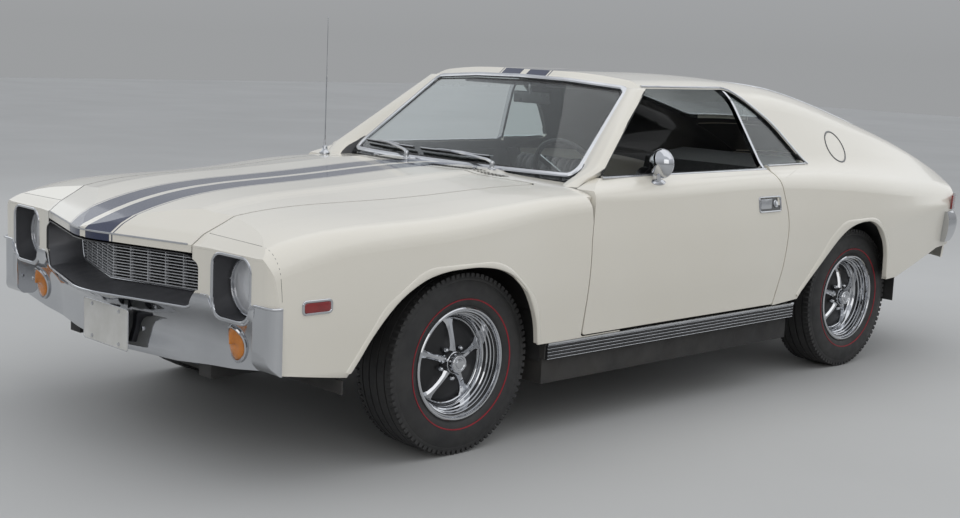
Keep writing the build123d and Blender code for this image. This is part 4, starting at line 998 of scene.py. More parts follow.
def side_marker():
    """A red lens in a bright frame on each front fender."""
    corners = rounded_rectangle((1.890, 0.578), (1.996, 0.616), 0.010, 5)
    middle_x, middle_z = 1.943, 0.597
    path = spaced([(p.x, FAR_Y, p.y) for p in corners], 0.004, True)
    both_sides("marker_frame", trim_along(["fender_left"], path, RIGHT, 0.009, 0.0045, closed=True), CHROME)
    rings = []
    for share, rise in ((1.0, -0.001), (1.0, 0.0022), (0.96, 0.0036), (0.8, 0.0046), (0.4, 0.005), (0.02, 0.005)):
        ring = []
        for p in spaced(corners, 0.004, True):
            x, z = middle_x + (p.x - middle_x) * share * 0.94, middle_z + (p.y - middle_z) * share * 0.82
            ring.append((x, meets("fender_left", (x, FAR_Y, z), RIGHT)[0].y + rise, z))
        rings.append(ring)
    both_sides("marker_lens", lofted(rings, capped=True), RED_LENS, replaces="side_markers")


def rockers():
    """Ribbed sill mouldings: dark base, a bright top strip and fine bright lines."""
    ribs, pitch = 4, 0.0122
    base = [(0.8555, 0.297), (0.8755, 0.2965)]
    for i in range(ribs):
        z = 0.303 + pitch * i
        base += [(0.8790, z + 0.001), (0.8800, z + 0.003), (0.8800, z + 0.006), (0.8790, z + 0.008),
                 (0.8755, z + 0.009)]
    base += [(0.8775, 0.3515), (0.8775, 0.3595), (0.8555, 0.3595)]

    def run(profile):
        rings = [[(x, y, z) for y, z in profile] for x in (-0.655, -0.30, 0.10, 0.50, 0.889)]
        return lofted(rings, capped=True)

    both_sides("rocker_base", run(base), BLACK_PAINT, replaces="rocker_mouldings", sharp=20)
    strips = [run([(0.8765, 0.3505), (0.8805, 0.3510), (0.8818, 0.3530), (0.8818, 0.3585), (0.8800, 0.3602),
                   (0.8765, 0.3602)])]
    for i in range(ribs + 1):
        z = 0.2995 + pitch * i
        strips.append(run([(0.8752, z - 0.0010), (0.8785, z - 0.0008), (0.8790, z), (0.8785, z + 0.0008),
                           (0.8752, z + 0.0010)]))
    both_sides("rocker_bright", joined(strips), BRIGHT, sharp=30)


def door_hardware():
    """The handle: a bright frame, a paddle and a push button in a dark recess, all leaning with the door's flank."""
    middle, lean = Vector((-0.458, 0.801)), 0.28
    y = meets("door_handle_left", (-0.416, FAR_Y, middle.y), RIGHT)[0].y
    rim = rounded_rectangle((-0.492, 0.771), (-0.345, 0.831), 0.007, 4)
    points, _ = laid_on(["door_left"], [(p.x, FAR_Y, p.y) for p in spaced(rim, 0.005, True)], RIGHT)
    points = [Vector((p.x, max(p.y, y - 0.004 + (middle.y - p.z) * lean), p.z)) for p in points]
    frame_strip = swept(points, trim_profile(0.008, 0.005, 0.004), (0, 1, lean), closed=True)
    both_sides("handle_frame", frame_strip, CHROME, "{side}_door")
    dish = plate(rim, lambda x, z: (x, y - 0.003 + (middle.y - z) * lean, z), 0.0025, LEFT)
    both_sides("handle_dish", dish, GLOSS_BLACK, "{side}_door", smooth=False)
    paddle = bevelled_box((-0.428, y - 0.002, 0.780), (-0.352, y + 0.0045, 0.824), 0.0025, 2)
    both_sides("handle_paddle", paddle, BRIGHT, "{side}_door")
    for side in SIDES:
        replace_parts(bpy.data.objects[f"handle_paddle_{side}"], f"door_handle_{side}")
    button = lathe([(-0.001, 0.0165), (0.003, 0.0160), (0.0045, 0.0130), (0.0035, 0.0105), (0.0075, 0.0095),
                    (0.0085, 0.0)], 32)
    both_sides("handle_button", aimed(button, (middle.x, y, middle.y), (0, 1, lean)), CHROME, "{side}_door")


def mirror():
    """The round door mirror: a ribbed rim, a bright dome, a curved neck and an oval foot."""
    head = (0.2600, 0.849, 0.987)
    dome = [(0.0, 0.0545), (0.003, 0.0562), (0.007, 0.0565), (0.012, 0.0552), (0.014, 0.0535)]
    dome += [(0.014 + 0.036 * (1 - cos(k * pi / 20)) ** 0.5 * 0.98, 0.0532 * cos(k * pi / 20) ** 0.8)
             for k in range(1, 10)]
    dome += [(0.0497, 0.0)]
    parts = [aimed(lathe(dome, 72), head, FORWARD)]
    rib = bevelled_box((-0.0010, 0.0030, 0.0552), (0.0010, 0.0110, 0.0572), 0.0004, 1)
    parts += [aimed(moved(rib, Matrix.Rotation(turn, 4, "Y")), head, FORWARD) for turn in turns(60)]
    neck = eased([(0.283, 0.849, 0.945), (0.281, 0.8475, 0.930), (0.275, 0.845, 0.918), (0.272, 0.843, 0.908)], 5)
    parts.append(swept(neck, round_profile(0.0115, 16, 0.0085), LEFT))
    foot = lathe([(0.0, 0.0), (0.0, 0.0400), (0.003, 0.0395), (0.007, 0.0300), (0.012, 0.0180), (0.0145, 0.0)], 48)
    foot = moved(foot, Matrix.Rotation(pi / 2, 4, "X") @ Matrix.Scale(0.42, 4, UP))
    spot, normal = meets("door_left", (0.272, 0.841, FAR_Z), DOWN)
    parts.append(moved(foot, Matrix.Translation(spot) @ Vector(UP).rotation_difference(normal).to_matrix().to_4x4()))
    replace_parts(mesh_piece("mirror_shell", *joined(parts), CHROME, "left_door"), "door_mirror")
    glass = lathe([(-0.0005, 0.0510), (-0.0012, 0.0505), (-0.0012, 0.0)], 64)
    mesh_piece("mirror_glass", *aimed(glass, (0.2605, 0.849, 0.987), FORWARD), LAMP_SILVER, "left_door")


def sail_rings():
    """A plain dark ring on each sail panel."""
    ring = [(-1.116 + u, FAR_Y, 1.015 + v) for u, v in round_profile(0.074, 72, 0.065)]
    strip = trim_along(["quarter_panel_left"], ring, RIGHT, 0.0085, 0.0022, closed=True)
    both_sides("sail_ring", strip, GLOSS_BLACK)


def tail_lamps():
    """Bright frames and dividing strips on the wrap-round tail lamps."""
    rays = [(Vector((-FAR_X, 0.434 + 0.02 * k, 0)), Vector(FORWARD)) for k in range(15)]
    for k in range(1, 21):
        turn = radians(180 - 4.6 * k)
        ray = Vector((cos(turn), sin(turn), 0))
        rays.append((Vector((-1.96, 0.70, 0)) + ray * 0.7, -ray))
    strips = []
    for z, width, height in ((0.7025, 0.007, 0.004), (0.7655, 0.007, 0.004), (0.7340, 0.004, 0.003)):
        points, normals = [], []
        for start, ray in rays:
            place, normal = meets("tail_lamps", (start.x, start.y, z), ray)
            if place is not None and (not points or (place - points[-1]).length < 0.08):
                points.append(place)
                normals.append(normal)
        strips.append(swept(points, trim_profile(width, height), normals))
    for y in (0.436, 0.530, 0.640):
        starts = [(-FAR_X, y, z) for z in (0.7025, 0.718, 0.734, 0.750, 0.7655)]
        points, normals = laid_on(["tail_lamps"], starts, FORWARD)
        if len(points) > 2:
            strips.append(swept(points, trim_profile(0.006, 0.004), normals))
    both_sides("tail_lamp_frame", joined(strips), CHROME)


def tail_details():
    """The trunk lock, and the bright exhaust tips with a near-black disc in each as painted shade of the bore."""
    spot, facing = meets("tail_panel", (-FAR_X, 0.0, 0.735), FORWARD)
    lock = lathe([(-0.002, 0.021), (0.002, 0.0205), (0.004, 0.0180), (0.0035, 0.0150), (0.006, 0.0125),
                  (0.0065, 0.0)], 40)
    mesh_piece("trunk_lock", *aimed(lock, spot, facing), CHROME)
    along = (-1, 0, -0.0385)
    tip = lathe([(0.0, 0.0275), (0.115, 0.0285), (0.118, 0.0280), (0.118, 0.0255), (0.006, 0.0252), (0.0, 0.0275)],
                48, True)
    both_sides("exhaust_tip", aimed(tip, (-2.078, 0.412, 0.2592), along), CHROME)
    # A near-black disc just inside each tip paints the shade in the pipe.
    bore = aimed(lathe([(0.0, 0.0), (0.0, 0.0248)], 32), (-2.1905, 0.412, 0.2549), along)
    both_sides("exhaust_bore", bore, SHADOW, smooth=False)


def cowl_details():
    """Fine air slots in the cowl on both sides of the middle, as near-black blocks of painted shade, and the washer
    jets.
    """
    slots = []
    for row in range(3):
        for column in range(22):
            y = 0.085 + column * 0.0175
            x = 0.795 - row * 0.017 - 0.25 * y * y
            place, _ = meets("cowl_panel", (x, y, FAR_Z), DOWN)
            if place is not None:
                slots.append(bevelled_box((x - 0.005, y - 0.006, place.z - 0.001),
                                          (x + 0.005, y + 0.006, place.z + 0.0008), 0.0004, 1))
    # The slots are near-black blocks laid on the surface, not openings: painted shade.
    mesh_piece("cowl_slots", *whole(joined(slots)), SHADOW)
    foot = meets("cowl_panel", (0.735, 0.30, FAR_Z), DOWN)[0].z
    jet = bevelled_box((0.728, 0.292, foot - 0.001), (0.744, 0.308, foot + 0.009), 0.003, 2)
    mesh_piece("washer_jets", *whole(jet), CHROME)


def standing(profile, x, y, segments):
    """A profile of (height, radius) points spun about an upright axis."""
    return moved(lathe(profile, segments), Matrix.Translation((x, y, 0)) @ Matrix.Rotation(pi / 2, 4, "X"))


def wipers():
    """Two bright arms with black blades, parked at the foot of the glass."""
    arms, blades, spines = [], [], []
    low = 0.962
    for (pivot_x, pivot_y), start_y, end_y in (((0.672, 0.330), 0.250, -0.150), ((0.690, -0.160), -0.200, -0.600)):
        tip = [Vector((windshield_x(y, low), y, low)) + windshield_normal(y) * 0.014
               for y in [start_y + (end_y - start_y) * k / 12 for k in range(13)]]
        up = windshield_normal((start_y + end_y) / 2)
        blades.append(swept([p - up * 0.006 for p in tip], [(-0.0012, -0.006), (0.0012, -0.006), (0.0034, 0.003),
                                                           (0.0034, 0.006), (-0.0034, 0.006), (-0.0034, 0.003)], up))
        spines.append(swept([p + up * 0.001 for p in tip], trim_profile(0.005, 0.0022), up))
        middle = tip[6] + up * 0.005
        for k in (3, 9):
            spines.append(swept([tip[k] + up * 0.002, (tip[k] + middle) / 2 + up * 0.004, middle],
                                trim_profile(0.006, 0.003), up))
        top = Vector((pivot_x, pivot_y, 0.957))
        route = [top, top.lerp(middle, 0.15) + Vector((0, 0, 0.006)), top.lerp(middle, 0.5) + Vector((0, 0, 0.004)),
                 middle]
        arms.append(swept(spaced(route, 0.02), [(-0.006, -0.002), (0.006, -0.002), (0.005, 0.0025), (-0.005, 0.0025)],
                          (0.4, 0, 0.9)))
        foot = meets("cowl_panel", (pivot_x, pivot_y, FAR_Z), DOWN)[0].z
        arms.append(standing([(foot - 0.002, 0.017), (foot + 0.003, 0.0165), (foot + 0.006, 0.011), (0.948, 0.0095),
                              (0.958, 0.0105), (0.962, 0.0085), (0.963, 0.0)], pivot_x, pivot_y, 32))
    mesh_piece("wiper_arms", *joined(arms), BRIGHT, sharp=40)
    mesh_piece("wiper_spines", *joined(spines), BRIGHT, sharp=40)
    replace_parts(mesh_piece("wiper_blades", *joined(blades), RUBBER), "wipers")


def antenna_base():
    """The antenna's chrome foot and the bead at its tip."""
    x, y = 0.697, -0.700
    foot = 0.905
    rise = [(-0.002, 0.024), (0.004, 0.0235), (0.009, 0.018), (0.016, 0.013), (0.030, 0.0115), (0.034, 0.006),
            (0.060, 0.0038), (0.060, 0.0)]
    mesh_piece("antenna_base", *standing([(foot + z, r) for z, r in rise], x, y, 40), CHROME)
    tip = [(1.4905, 0.0), (1.4915, 0.0026), (1.4945, 0.0032), (1.4975, 0.0026), (1.4985, 0.0)]
    mesh_piece("antenna_tip", *standing(tip, x, y, 24), CHROME)


seams()
side_marker()
rockers()
door_hardware()
mirror()
sail_rings()
tail_lamps()
tail_details()
cowl_details()
wipers()
antenna_base()


# ---- Forms round the glass and the arches ----

def window_front(z):
    """The side window's front edge, in X."""
    return 0.560 - (z - 0.938) * 1.3333


def flank_y(z):
    """The side glass's outer face, in Y."""
    return 0.629 + (1.275 - z) * 0.5044


def pillars():
    """The windshield pillars, with a foot that spreads over the cowl."""
    rings = []
    for z, corners in (
        (0.900, [(0.560, 0.655), (0.640, 0.672), (0.668, 0.715), (0.652, 0.762), (0.585, 0.762), (0.548, 0.700)]),
        (0.916, [(0.550, 0.660), (0.622, 0.682), (0.640, 0.725), (0.628, 0.764), (0.570, 0.764), (0.540, 0.700)]),
        (0.932, [(0.538, 0.662), (0.596, 0.690), (0.614, 0.738), (0.604, 0.772), (0.556, 0.772), (0.530, 0.700)]),
        (0.946, [(0.526, 0.660), (0.574, 0.694), (0.594, 0.748), (0.586, 0.785), (0.549, 0.795), (0.520, 0.690)]),
    ):
        rings.append([(p.x, p.y, z) for p in resampled(rounded([(*c, 0.010) for c in corners], 4), 30, True)])
    for z in (0.970, 1.000, 1.040, 1.080, 1.120, 1.160, 1.200, 1.230, 1.252, 1.264):
        x, y = window_front(z), flank_y(z)
        edge_y = 0.684 - (z - 0.905) * 0.3454
        glass_x = windshield_x(edge_y, z)
        start, corner = Vector((glass_x + 0.006, edge_y - 0.006)), Vector((x + 0.032, y - 0.014))
        middle = (start + corner) / 2 + Vector((0.010, -0.003))
        corners = [(*start, 0.003), (*middle, 0.050), (*corner, 0.014), (x, y - 0.001, 0.003),
                   (min(x, glass_x) - 0.018, edge_y + 0.004, 0.008), (min(x, glass_x) - 0.020, edge_y - 0.004, 0.004)]
        rings.append([(p.x, p.y, z) for p in resampled(rounded(corners, 4), 30, True)])
    both_sides("pillar", lofted(rings, capped=True), PAINT, sharp=50)
    strip = [(window_front(z) - 0.003, flank_y(z) - 0.009, z) for z in (0.948, 1.0, 1.05, 1.1, 1.15, 1.2, 1.25)]
    both_sides("pillar_seal", swept(spaced(strip, 0.02), round_profile(0.0055, 8), LEFT), RUBBER)


def sill_y(x, z):
    """The belt's face between the door's rear edge and the sail."""
    share = min(1.0, max(0.0, (-0.47 - x) / 0.36))
    near, _ = meets("door_left", (-0.47, FAR_Y, min(z, 0.932)), RIGHT)
    far, _ = meets("quarter_panel_left", (-0.83, FAR_Y, z), RIGHT)
    return (near.y - max(0.0, z - 0.932) * 0.6) * (1 - share) + far.y * share


def quarter_sills():
    """The belt below each quarter window, from the door to the sail."""
    rings, strip = [], []
    for k in range(14):
        x0 = -0.4965 - 0.0225 * k
        low = 0.903 + max(0.0, -0.560 - x0) * 0.2043
        ring = []
        for j in range(9):
            z = low + (0.949 - low) * j / 8
            x = x0 - (0.951 - z) * 0.24 * max(0.0, 1 - k / 4)
            ring.append((x, sill_y(x, z) + 0.0004, z))
        x, y, z = ring[-1]
        ring += [(x, y - 0.004, 0.9525), (x, y - 0.022, 0.9530), (x, y - 0.024, low)]
        rings.append(ring)
        strip.append(Vector((x0, y - 0.003, 0.953)))
    both_sides("quarter_sill", lofted(rings, capped=True), PAINT, sharp=50)
    both_sides("quarter_sill_trim", swept(strip, trim_profile(0.010, 0.005), (0, 0.35, 1)), BRIGHT)


# Each wheel opening's edge in X and Z: first the CAD panel's, whose corners have a radius, then the smooth line
# of the flare.
FRONT_ARCH = [(1.803, 0.362), (1.665, 0.560, 0.160), (1.500, 0.668, 0.180), (1.150, 0.668, 0.190),
              (0.985, 0.520, 0.120), (0.950, 0.372)]
REAR_ARCH = [(-0.6645, 0.388), (-0.880, 0.620, 0.200), (-0.985, 0.688, 0.150), (-1.260, 0.688, 0.130),
             (-1.385, 0.560, 0.120), (-1.409, 0.410)]
FRONT_ARCH_LINE = [(1.796, 0.366), (1.763, 0.412), (1.723, 0.472), (1.664, 0.541), (1.596, 0.598), (1.507, 0.642),
                   (1.415, 0.663), (1.319, 0.668), (1.251, 0.666), (1.170, 0.653), (1.100, 0.624), (1.043, 0.577),
                   (1.003, 0.514), (0.973, 0.443), (0.957, 0.368)]
REAR_ARCH_LINE = [(-0.660, 0.388), (-0.762, 0.480), (-0.870, 0.571), (-0.960, 0.633), (-1.048, 0.672),
                  (-1.141, 0.688), (-1.219, 0.683), (-1.286, 0.651), (-1.338, 0.597), (-1.375, 0.525),
                  (-1.400, 0.412)]
# Across the flare: the share of the way from the panel's edge to the flare's, and the rise over the panel.
FLARE_PROFILE = [(0.0, -0.0008), (0.06, 0.0012), (0.25, 0.0034), (0.6, 0.0048), (0.9, 0.0046), (0.98, 0.0030),
                 (1.0, -0.0004), (1.0, -0.016), (0.75, -0.014)]


def grown(path, margin):
    """An open path in X and Z moved outwards from the arch's middle."""
    middle = Vector((sum(p.x for p in path) / len(path), 0.35))
    result = []
    for i, p in enumerate(path):
        before = path[max(0, i - 1)]
        after = path[min(len(path) - 1, i + 1)]
        run = (after - before).normalized()
        away = Vector((run.y, -run.x))
        if away.dot(p - middle) < 0:
            away = -away
        result.append(p + away * margin)
    return result


def arch_flares():
    """A smooth rolled flare round each wheel opening."""
    for name, outline, line, node in (("front_flare", FRONT_ARCH, FRONT_ARCH_LINE, "fender_left"),
                                      ("rear_flare", REAR_ARCH, REAR_ARCH_LINE, "quarter_panel_left")):
        outer = resampled(grown(spaced(rounded_path(outline, 8), 0.012), 0.016), 84)
        inner = resampled(eased(line), 84)
        rings = []
        for a, b in zip(outer, inner):
            spot, _ = meets(node, (a.x, FAR_Y, a.y), RIGHT)
            if spot is not None:
                across = [(a.lerp(b, share), spot.y + lift) for share, lift in FLARE_PROFILE]
                rings.append([(p.x, y, p.y) for p, y in across])
        both_sides(name, lofted(rings, closed=False), PAINT_PLAIN, sharp=60)


def hood_lip():
    """A thin bright strip on the hood's front edge: a painted highlight standing in for the light on the hood's
    rolled lip.
    """
    points, _ = laid_on(["hood"], [(FAR_X, -0.455 + 0.91 * k / 24, 0.7475) for k in range(25)], BACK)
    section = [(-0.0032, -0.001), (0.0032, -0.001), (0.0026, 0.0022), (-0.0026, 0.0022)]
    mesh_piece("hood_lip", *swept(points, section, FORWARD), BRIGHT, "hood_lid")


pillars()
quarter_sills()
arch_flares()
hood_lip()


# ---- Seats ----

SEAT_Y = 0.380
SEAT_ENDS = (0.158, 0.602)
PAD_VOXEL = 0.012
PAD_FRAMES = 20
PAD_PRESSURE = 4.0
PAD_SWELL = 0.010
CHANNEL_SPACING = 0.05
CHANNEL_REACH = 0.150
BOLSTER_SEAM = 0.158


def prism_mesh(outline, low, high, radius=0.022):
    """A block with an outline in X and Z, rounded over at both ends."""
    points = resampled(rounded(outline, 6), 64, True)
    middle = Vector((sum(p.x for p in points) / len(points), sum(p.y for p in points) / len(points)))
    inward = [(middle - p).normalized() for p in points]
    rings = []
    for y, inset in ((low, radius), (low + radius * 0.3, radius * 0.35), (low + radius, 0.0), (high - radius, 0.0),
                     (high - radius * 0.3, radius * 0.35), (high, radius)):
        rings.append([(p.x + way.x * inset, y, p.y + way.y * inset) for p, way in zip(points, inward)])
    return lofted(rings, capped=True)


def puffed(name, part):
    """A closed form remeshed evenly and filled like a cushion."""
    mesh = bpy.data.meshes.new(name)
    mesh.from_pydata([tuple(v) for v in part[0]], [], part[1])
    mesh.update()
    work = bmesh.new()
    work.from_mesh(mesh)
    bmesh.ops.recalc_face_normals(work, faces=work.faces)
    work.to_mesh(mesh)
    work.free()
    pad = bpy.data.objects.new(name, mesh)
    bpy.context.scene.collection.objects.link(pad)
    bpy.context.view_layer.objects.active = pad
    for other in bpy.context.selected_objects:
        other.select_set(False)
    pad.select_set(True)
    remesh = pad.modifiers.new("even", "REMESH")
    remesh.mode = "VOXEL"
    remesh.voxel_size = PAD_VOXEL
    bpy.ops.object.modifier_apply(modifier="even")
    start = [v.co.copy() for v in pad.data.vertices]
    cloth = pad.modifiers.new("filled", "CLOTH")
    cloth.settings.quality = 4
    cloth.settings.mass = 0.3
    cloth.settings.use_pressure = True
    cloth.settings.uniform_pressure_force = PAD_PRESSURE
    cloth.settings.effector_weights.gravity = 0.0
    cloth.point_cache.frame_start = 1
    cloth.point_cache.frame_end = PAD_FRAMES
    for step in range(1, PAD_FRAMES + 1):
        bpy.context.scene.frame_set(step)
    bpy.ops.object.modifier_apply(modifier="filled")
    bpy.context.scene.frame_set(1)
    for vertex, origin in zip(pad.data.vertices, start):
        move = vertex.co - origin
        if move.length > PAD_SWELL:
            vertex.co = origin + move.normalized() * PAD_SWELL
    smooth = pad.modifiers.new("smooth", "SUBSURF")
    smooth.levels = smooth.render_levels = 1
    bpy.ops.object.modifier_apply(modifier="smooth")
    return pad


def channelled(pad, along_normal):
    """Sewn channels along the middle and a seam where the bolsters start."""
    mesh = pad.data
    normals = [v.normal.copy() for v in mesh.vertices]
    for vertex, normal in zip(mesh.vertices, normals):
        facing = normal.dot(along_normal)
        if facing < 0.35:
            continue
        across = vertex.co.y - SEAT_Y
        depth = 0.0
        if abs(across) < CHANNEL_REACH:
            nearest = (round(across / CHANNEL_SPACING + 0.5) - 0.5) * CHANNEL_SPACING
            depth = 0.005 * exp(-((across - nearest) / 0.0065) ** 2)
        edge = abs(abs(across) - BOLSTER_SEAM)
        depth = max(depth, 0.009 * exp(-(edge / 0.008) ** 2))
        vertex.co -= normal * depth * min(1.0, (facing - 0.35) * 2.5)


def seats():
    """Two bucket seats: padded cushions and backs on plain bases, with piping. The right ones are mirrored."""
    cushion = puffed("seat_cushion_left", prism_mesh(
        [(-0.322, 0.328), (0.162, 0.328, 0.02), (0.172, 0.400, 0.04), (0.142, 0.446, 0.035), (-0.292, 0.422, 0.03)],
        *SEAT_ENDS))
    back = puffed("seat_back_left", prism_mesh(
        [(-0.332, 0.440, 0.02), (-0.255, 0.446, 0.02), (-0.338, 0.700, 0.2), (-0.398, 0.905, 0.035),
         (-0.460, 0.897, 0.035), (-0.432, 0.700, 0.2)], *SEAT_ENDS))
    channelled(cushion, Vector(UP))
    channelled(back, Vector((0.94, 0, 0.33)))
    base = prism_mesh([(-0.300, 0.2365), (0.130, 0.2365), (0.120, 0.318), (-0.292, 0.318)], 0.200, 0.560, 0.006)
    for pad, label in ((cushion, "cushion"), (back, "back")):
        mirrored_mesh = pad.data.copy()
        mirrored_mesh.transform(Matrix.Scale(-1, 4, LEFT))
        mirrored_mesh.flip_normals()
        other = bpy.data.objects.new(f"seat_{label}_right", mirrored_mesh)
        bpy.context.scene.collection.objects.link(other)
        for piece in (pad, other):
            piece.data.materials.clear()
            piece.data.materials.append(VINYL)
            for face in piece.data.polygons:
                face.use_smooth = True
            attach(piece, "body")
    both_sides("seat_base", base, BLACK_PAINT, slot="black_vinyl")
    piping = [swept([(x, SEAT_Y - 0.205, z), (x, SEAT_Y, z + 0.004), (x, SEAT_Y + 0.205, z)],
                    round_profile(0.0035, 8), UP) for x, z in ((0.150, 0.430), (-0.285, 0.418))]
    both_sides("seat_piping", joined(piping), VINYL)
    for side in SIDES:
        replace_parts(bpy.data.objects[f"seat_cushion_{side}"], f"seat_{side}")


seats()


# ---- Controls and trim inside ----

WHEEL_CENTRE = Vector((0.255, 0.370, 0.862))
WHEEL_AXIS = Vector((-cos(radians(24)), 0, sin(radians(24))))


def steering_wheel():
    """The wheel with its grips, hub, spokes and horn button, the column and the indicator stalk."""
    rim = lathe([(v, 0.190 + u) for u, v in round_profile(0.011, 14)], 96, True)
    grip = lathe([(-0.0025, 0.0113), (0.0, 0.0119), (0.0025, 0.0113), (0.0, 0.0105)], 10, True)
    grip = moved(grip, Matrix.Translation((0, 0, 0.190)) @ Matrix.Rotation(pi / 2, 4, "Z"))
    grips = [moved(grip, Matrix.Rotation(turn, 4, "Y")) for turn in turns(60)]
    hub = lathe([(-0.020, 0.0), (-0.020, 0.040), (0.004, 0.046), (0.018, 0.042), (0.026, 0.030), (0.029, 0.0)], 48)
    column = lathe([(-0.235, 0.0), (-0.235, 0.030), (-0.060, 0.030), (-0.050, 0.036), (-0.020, 0.036),
                    (-0.016, 0.0)], 40)
    bar = bevelled_box((-0.016, -0.002, 0.034), (0.016, 0.004, 0.184), 0.0015, 1)
    spokes = [moved(bar, Matrix.Rotation(turn + pi / 2, 4, "Y")) for turn in turns(3)]
    button = lathe([(0.026, 0.022), (0.030, 0.021), (0.033, 0.016), (0.034, 0.0)], 40)
    for name, part, material in (("rim", rim, VINYL), ("rim_grips", joined(grips), VINYL), ("hub", hub, BLACK_PAINT),
                                 ("column", column, BLACK_PAINT), ("spokes", joined(spokes), BRIGHT),
                                 ("horn", button, CHROME)):
        shape = aimed(part, WHEEL_CENTRE, WHEEL_AXIS)
        mesh_piece(f"steering_{name}", *shape, material, slot="steering_black")
    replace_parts(bpy.data.objects["steering_rim"], "steering_wheel")
    route = [WHEEL_CENTRE - WHEEL_AXIS * back + Vector((0, y, z))
             for back, y, z in ((0.05, 0.03, 0), (0.055, 0.10, 0.01), (0.05, 0.15, 0.02))]
    stalk = swept(eased(route), round_profile(0.004, 10), UP)
    mesh_piece("indicator_stalk", *stalk, BRIGHT)


DASH_FACING = (-0.92, 0, -0.39)


def dash_place(y, share, lift=0.0):
    """A point on the dashboard's face, from its top edge (0) to its lower edge (1)."""
    return Vector((0.466 + 0.034 * share + DASH_FACING[0] * lift, y, 0.840 - 0.080 * share + DASH_FACING[2] * lift))


def dashboard_details():
    """Dials with their rings, needles and marks, bright strips, two lids and the knobs."""
    facing = Vector(DASH_FACING)
    rings, faces, marks = [], [], []
    for y, radius in ((0.450, 0.034), (0.370, 0.034), (0.290, 0.034), (0.510, 0.018), (0.228, 0.018)):
        spot = dash_place(y, 0.5)
        ring = [(-0.002, radius + 0.004), (0.004, radius + 0.003), (0.006, radius), (0.001, radius - 0.002)]
        rings.append(aimed(lathe(ring, 48, True), spot, facing))
        faces.append(aimed(lathe([(0.0010, radius), (0.0012, 0.0)], 48), spot, facing))
        needle = bevelled_box((-0.0008, 0.0015, 0.0), (0.0008, 0.0025, radius * 0.8), 0.0003, 1)
        marks.append(aimed(moved(needle, Matrix.Rotation(1.9, 4, "Y")), spot, facing))
        tick = bevelled_box((-0.0006, 0.0012, radius * 0.82), (0.0006, 0.0018, radius * 0.95), 0.0002, 1)
        for degrees in range(-120, 121, 30):
            marks.append(aimed(moved(tick, Matrix.Rotation(radians(degrees), 4, "Y")), spot, facing))
    mesh_piece("gauge_rings", *joined(rings), CHROME)
    mesh_piece("gauge_faces", *joined(faces), GLOSS_BLACK, slot="black_vinyl")
    mesh_piece("gauge_marks", *joined(marks), PLATE_WHITE)
    strips = [swept([dash_place(y, share, 0.001) for y in (-0.66, -0.2, 0.2, 0.66)],
                    trim_profile(0.005, 0.0025), facing) for share in (0.06, 0.94)]
    mesh_piece("dash_strips", *joined(strips), BRIGHT)
    lids = []
    for y0, y1, s0, s1 in ((-0.55, -0.18, 0.16, 0.86), (-0.11, 0.09, 0.20, 0.80)):
        edge = [dash_place(y, share, 0.001) for y, share in ((y0, s0), (y1, s0), (y1, s1), (y0, s1))]
        lids.append(swept(spaced(edge, 0.01, True), trim_profile(0.003, 0.0018), facing, closed=True))
    mesh_piece("dash_lids", *joined(lids), GLOSS_BLACK, slot="black_vinyl")
    knob = lathe([(0.0, 0.011), (0.012, 0.010), (0.015, 0.008), (0.016, 0.0)], 24)
    knobs = [aimed(knob, dash_place(y, share), facing) for y, share in (
        (-0.085, 0.5), (0.065, 0.5), (-0.365, 0.30), (0.145, 0.3), (0.145, 0.7), (0.600, 0.5))]
    mesh_piece("dash_knobs", *joined(knobs), BRIGHT)


DOOR_INSIDE = 0.758


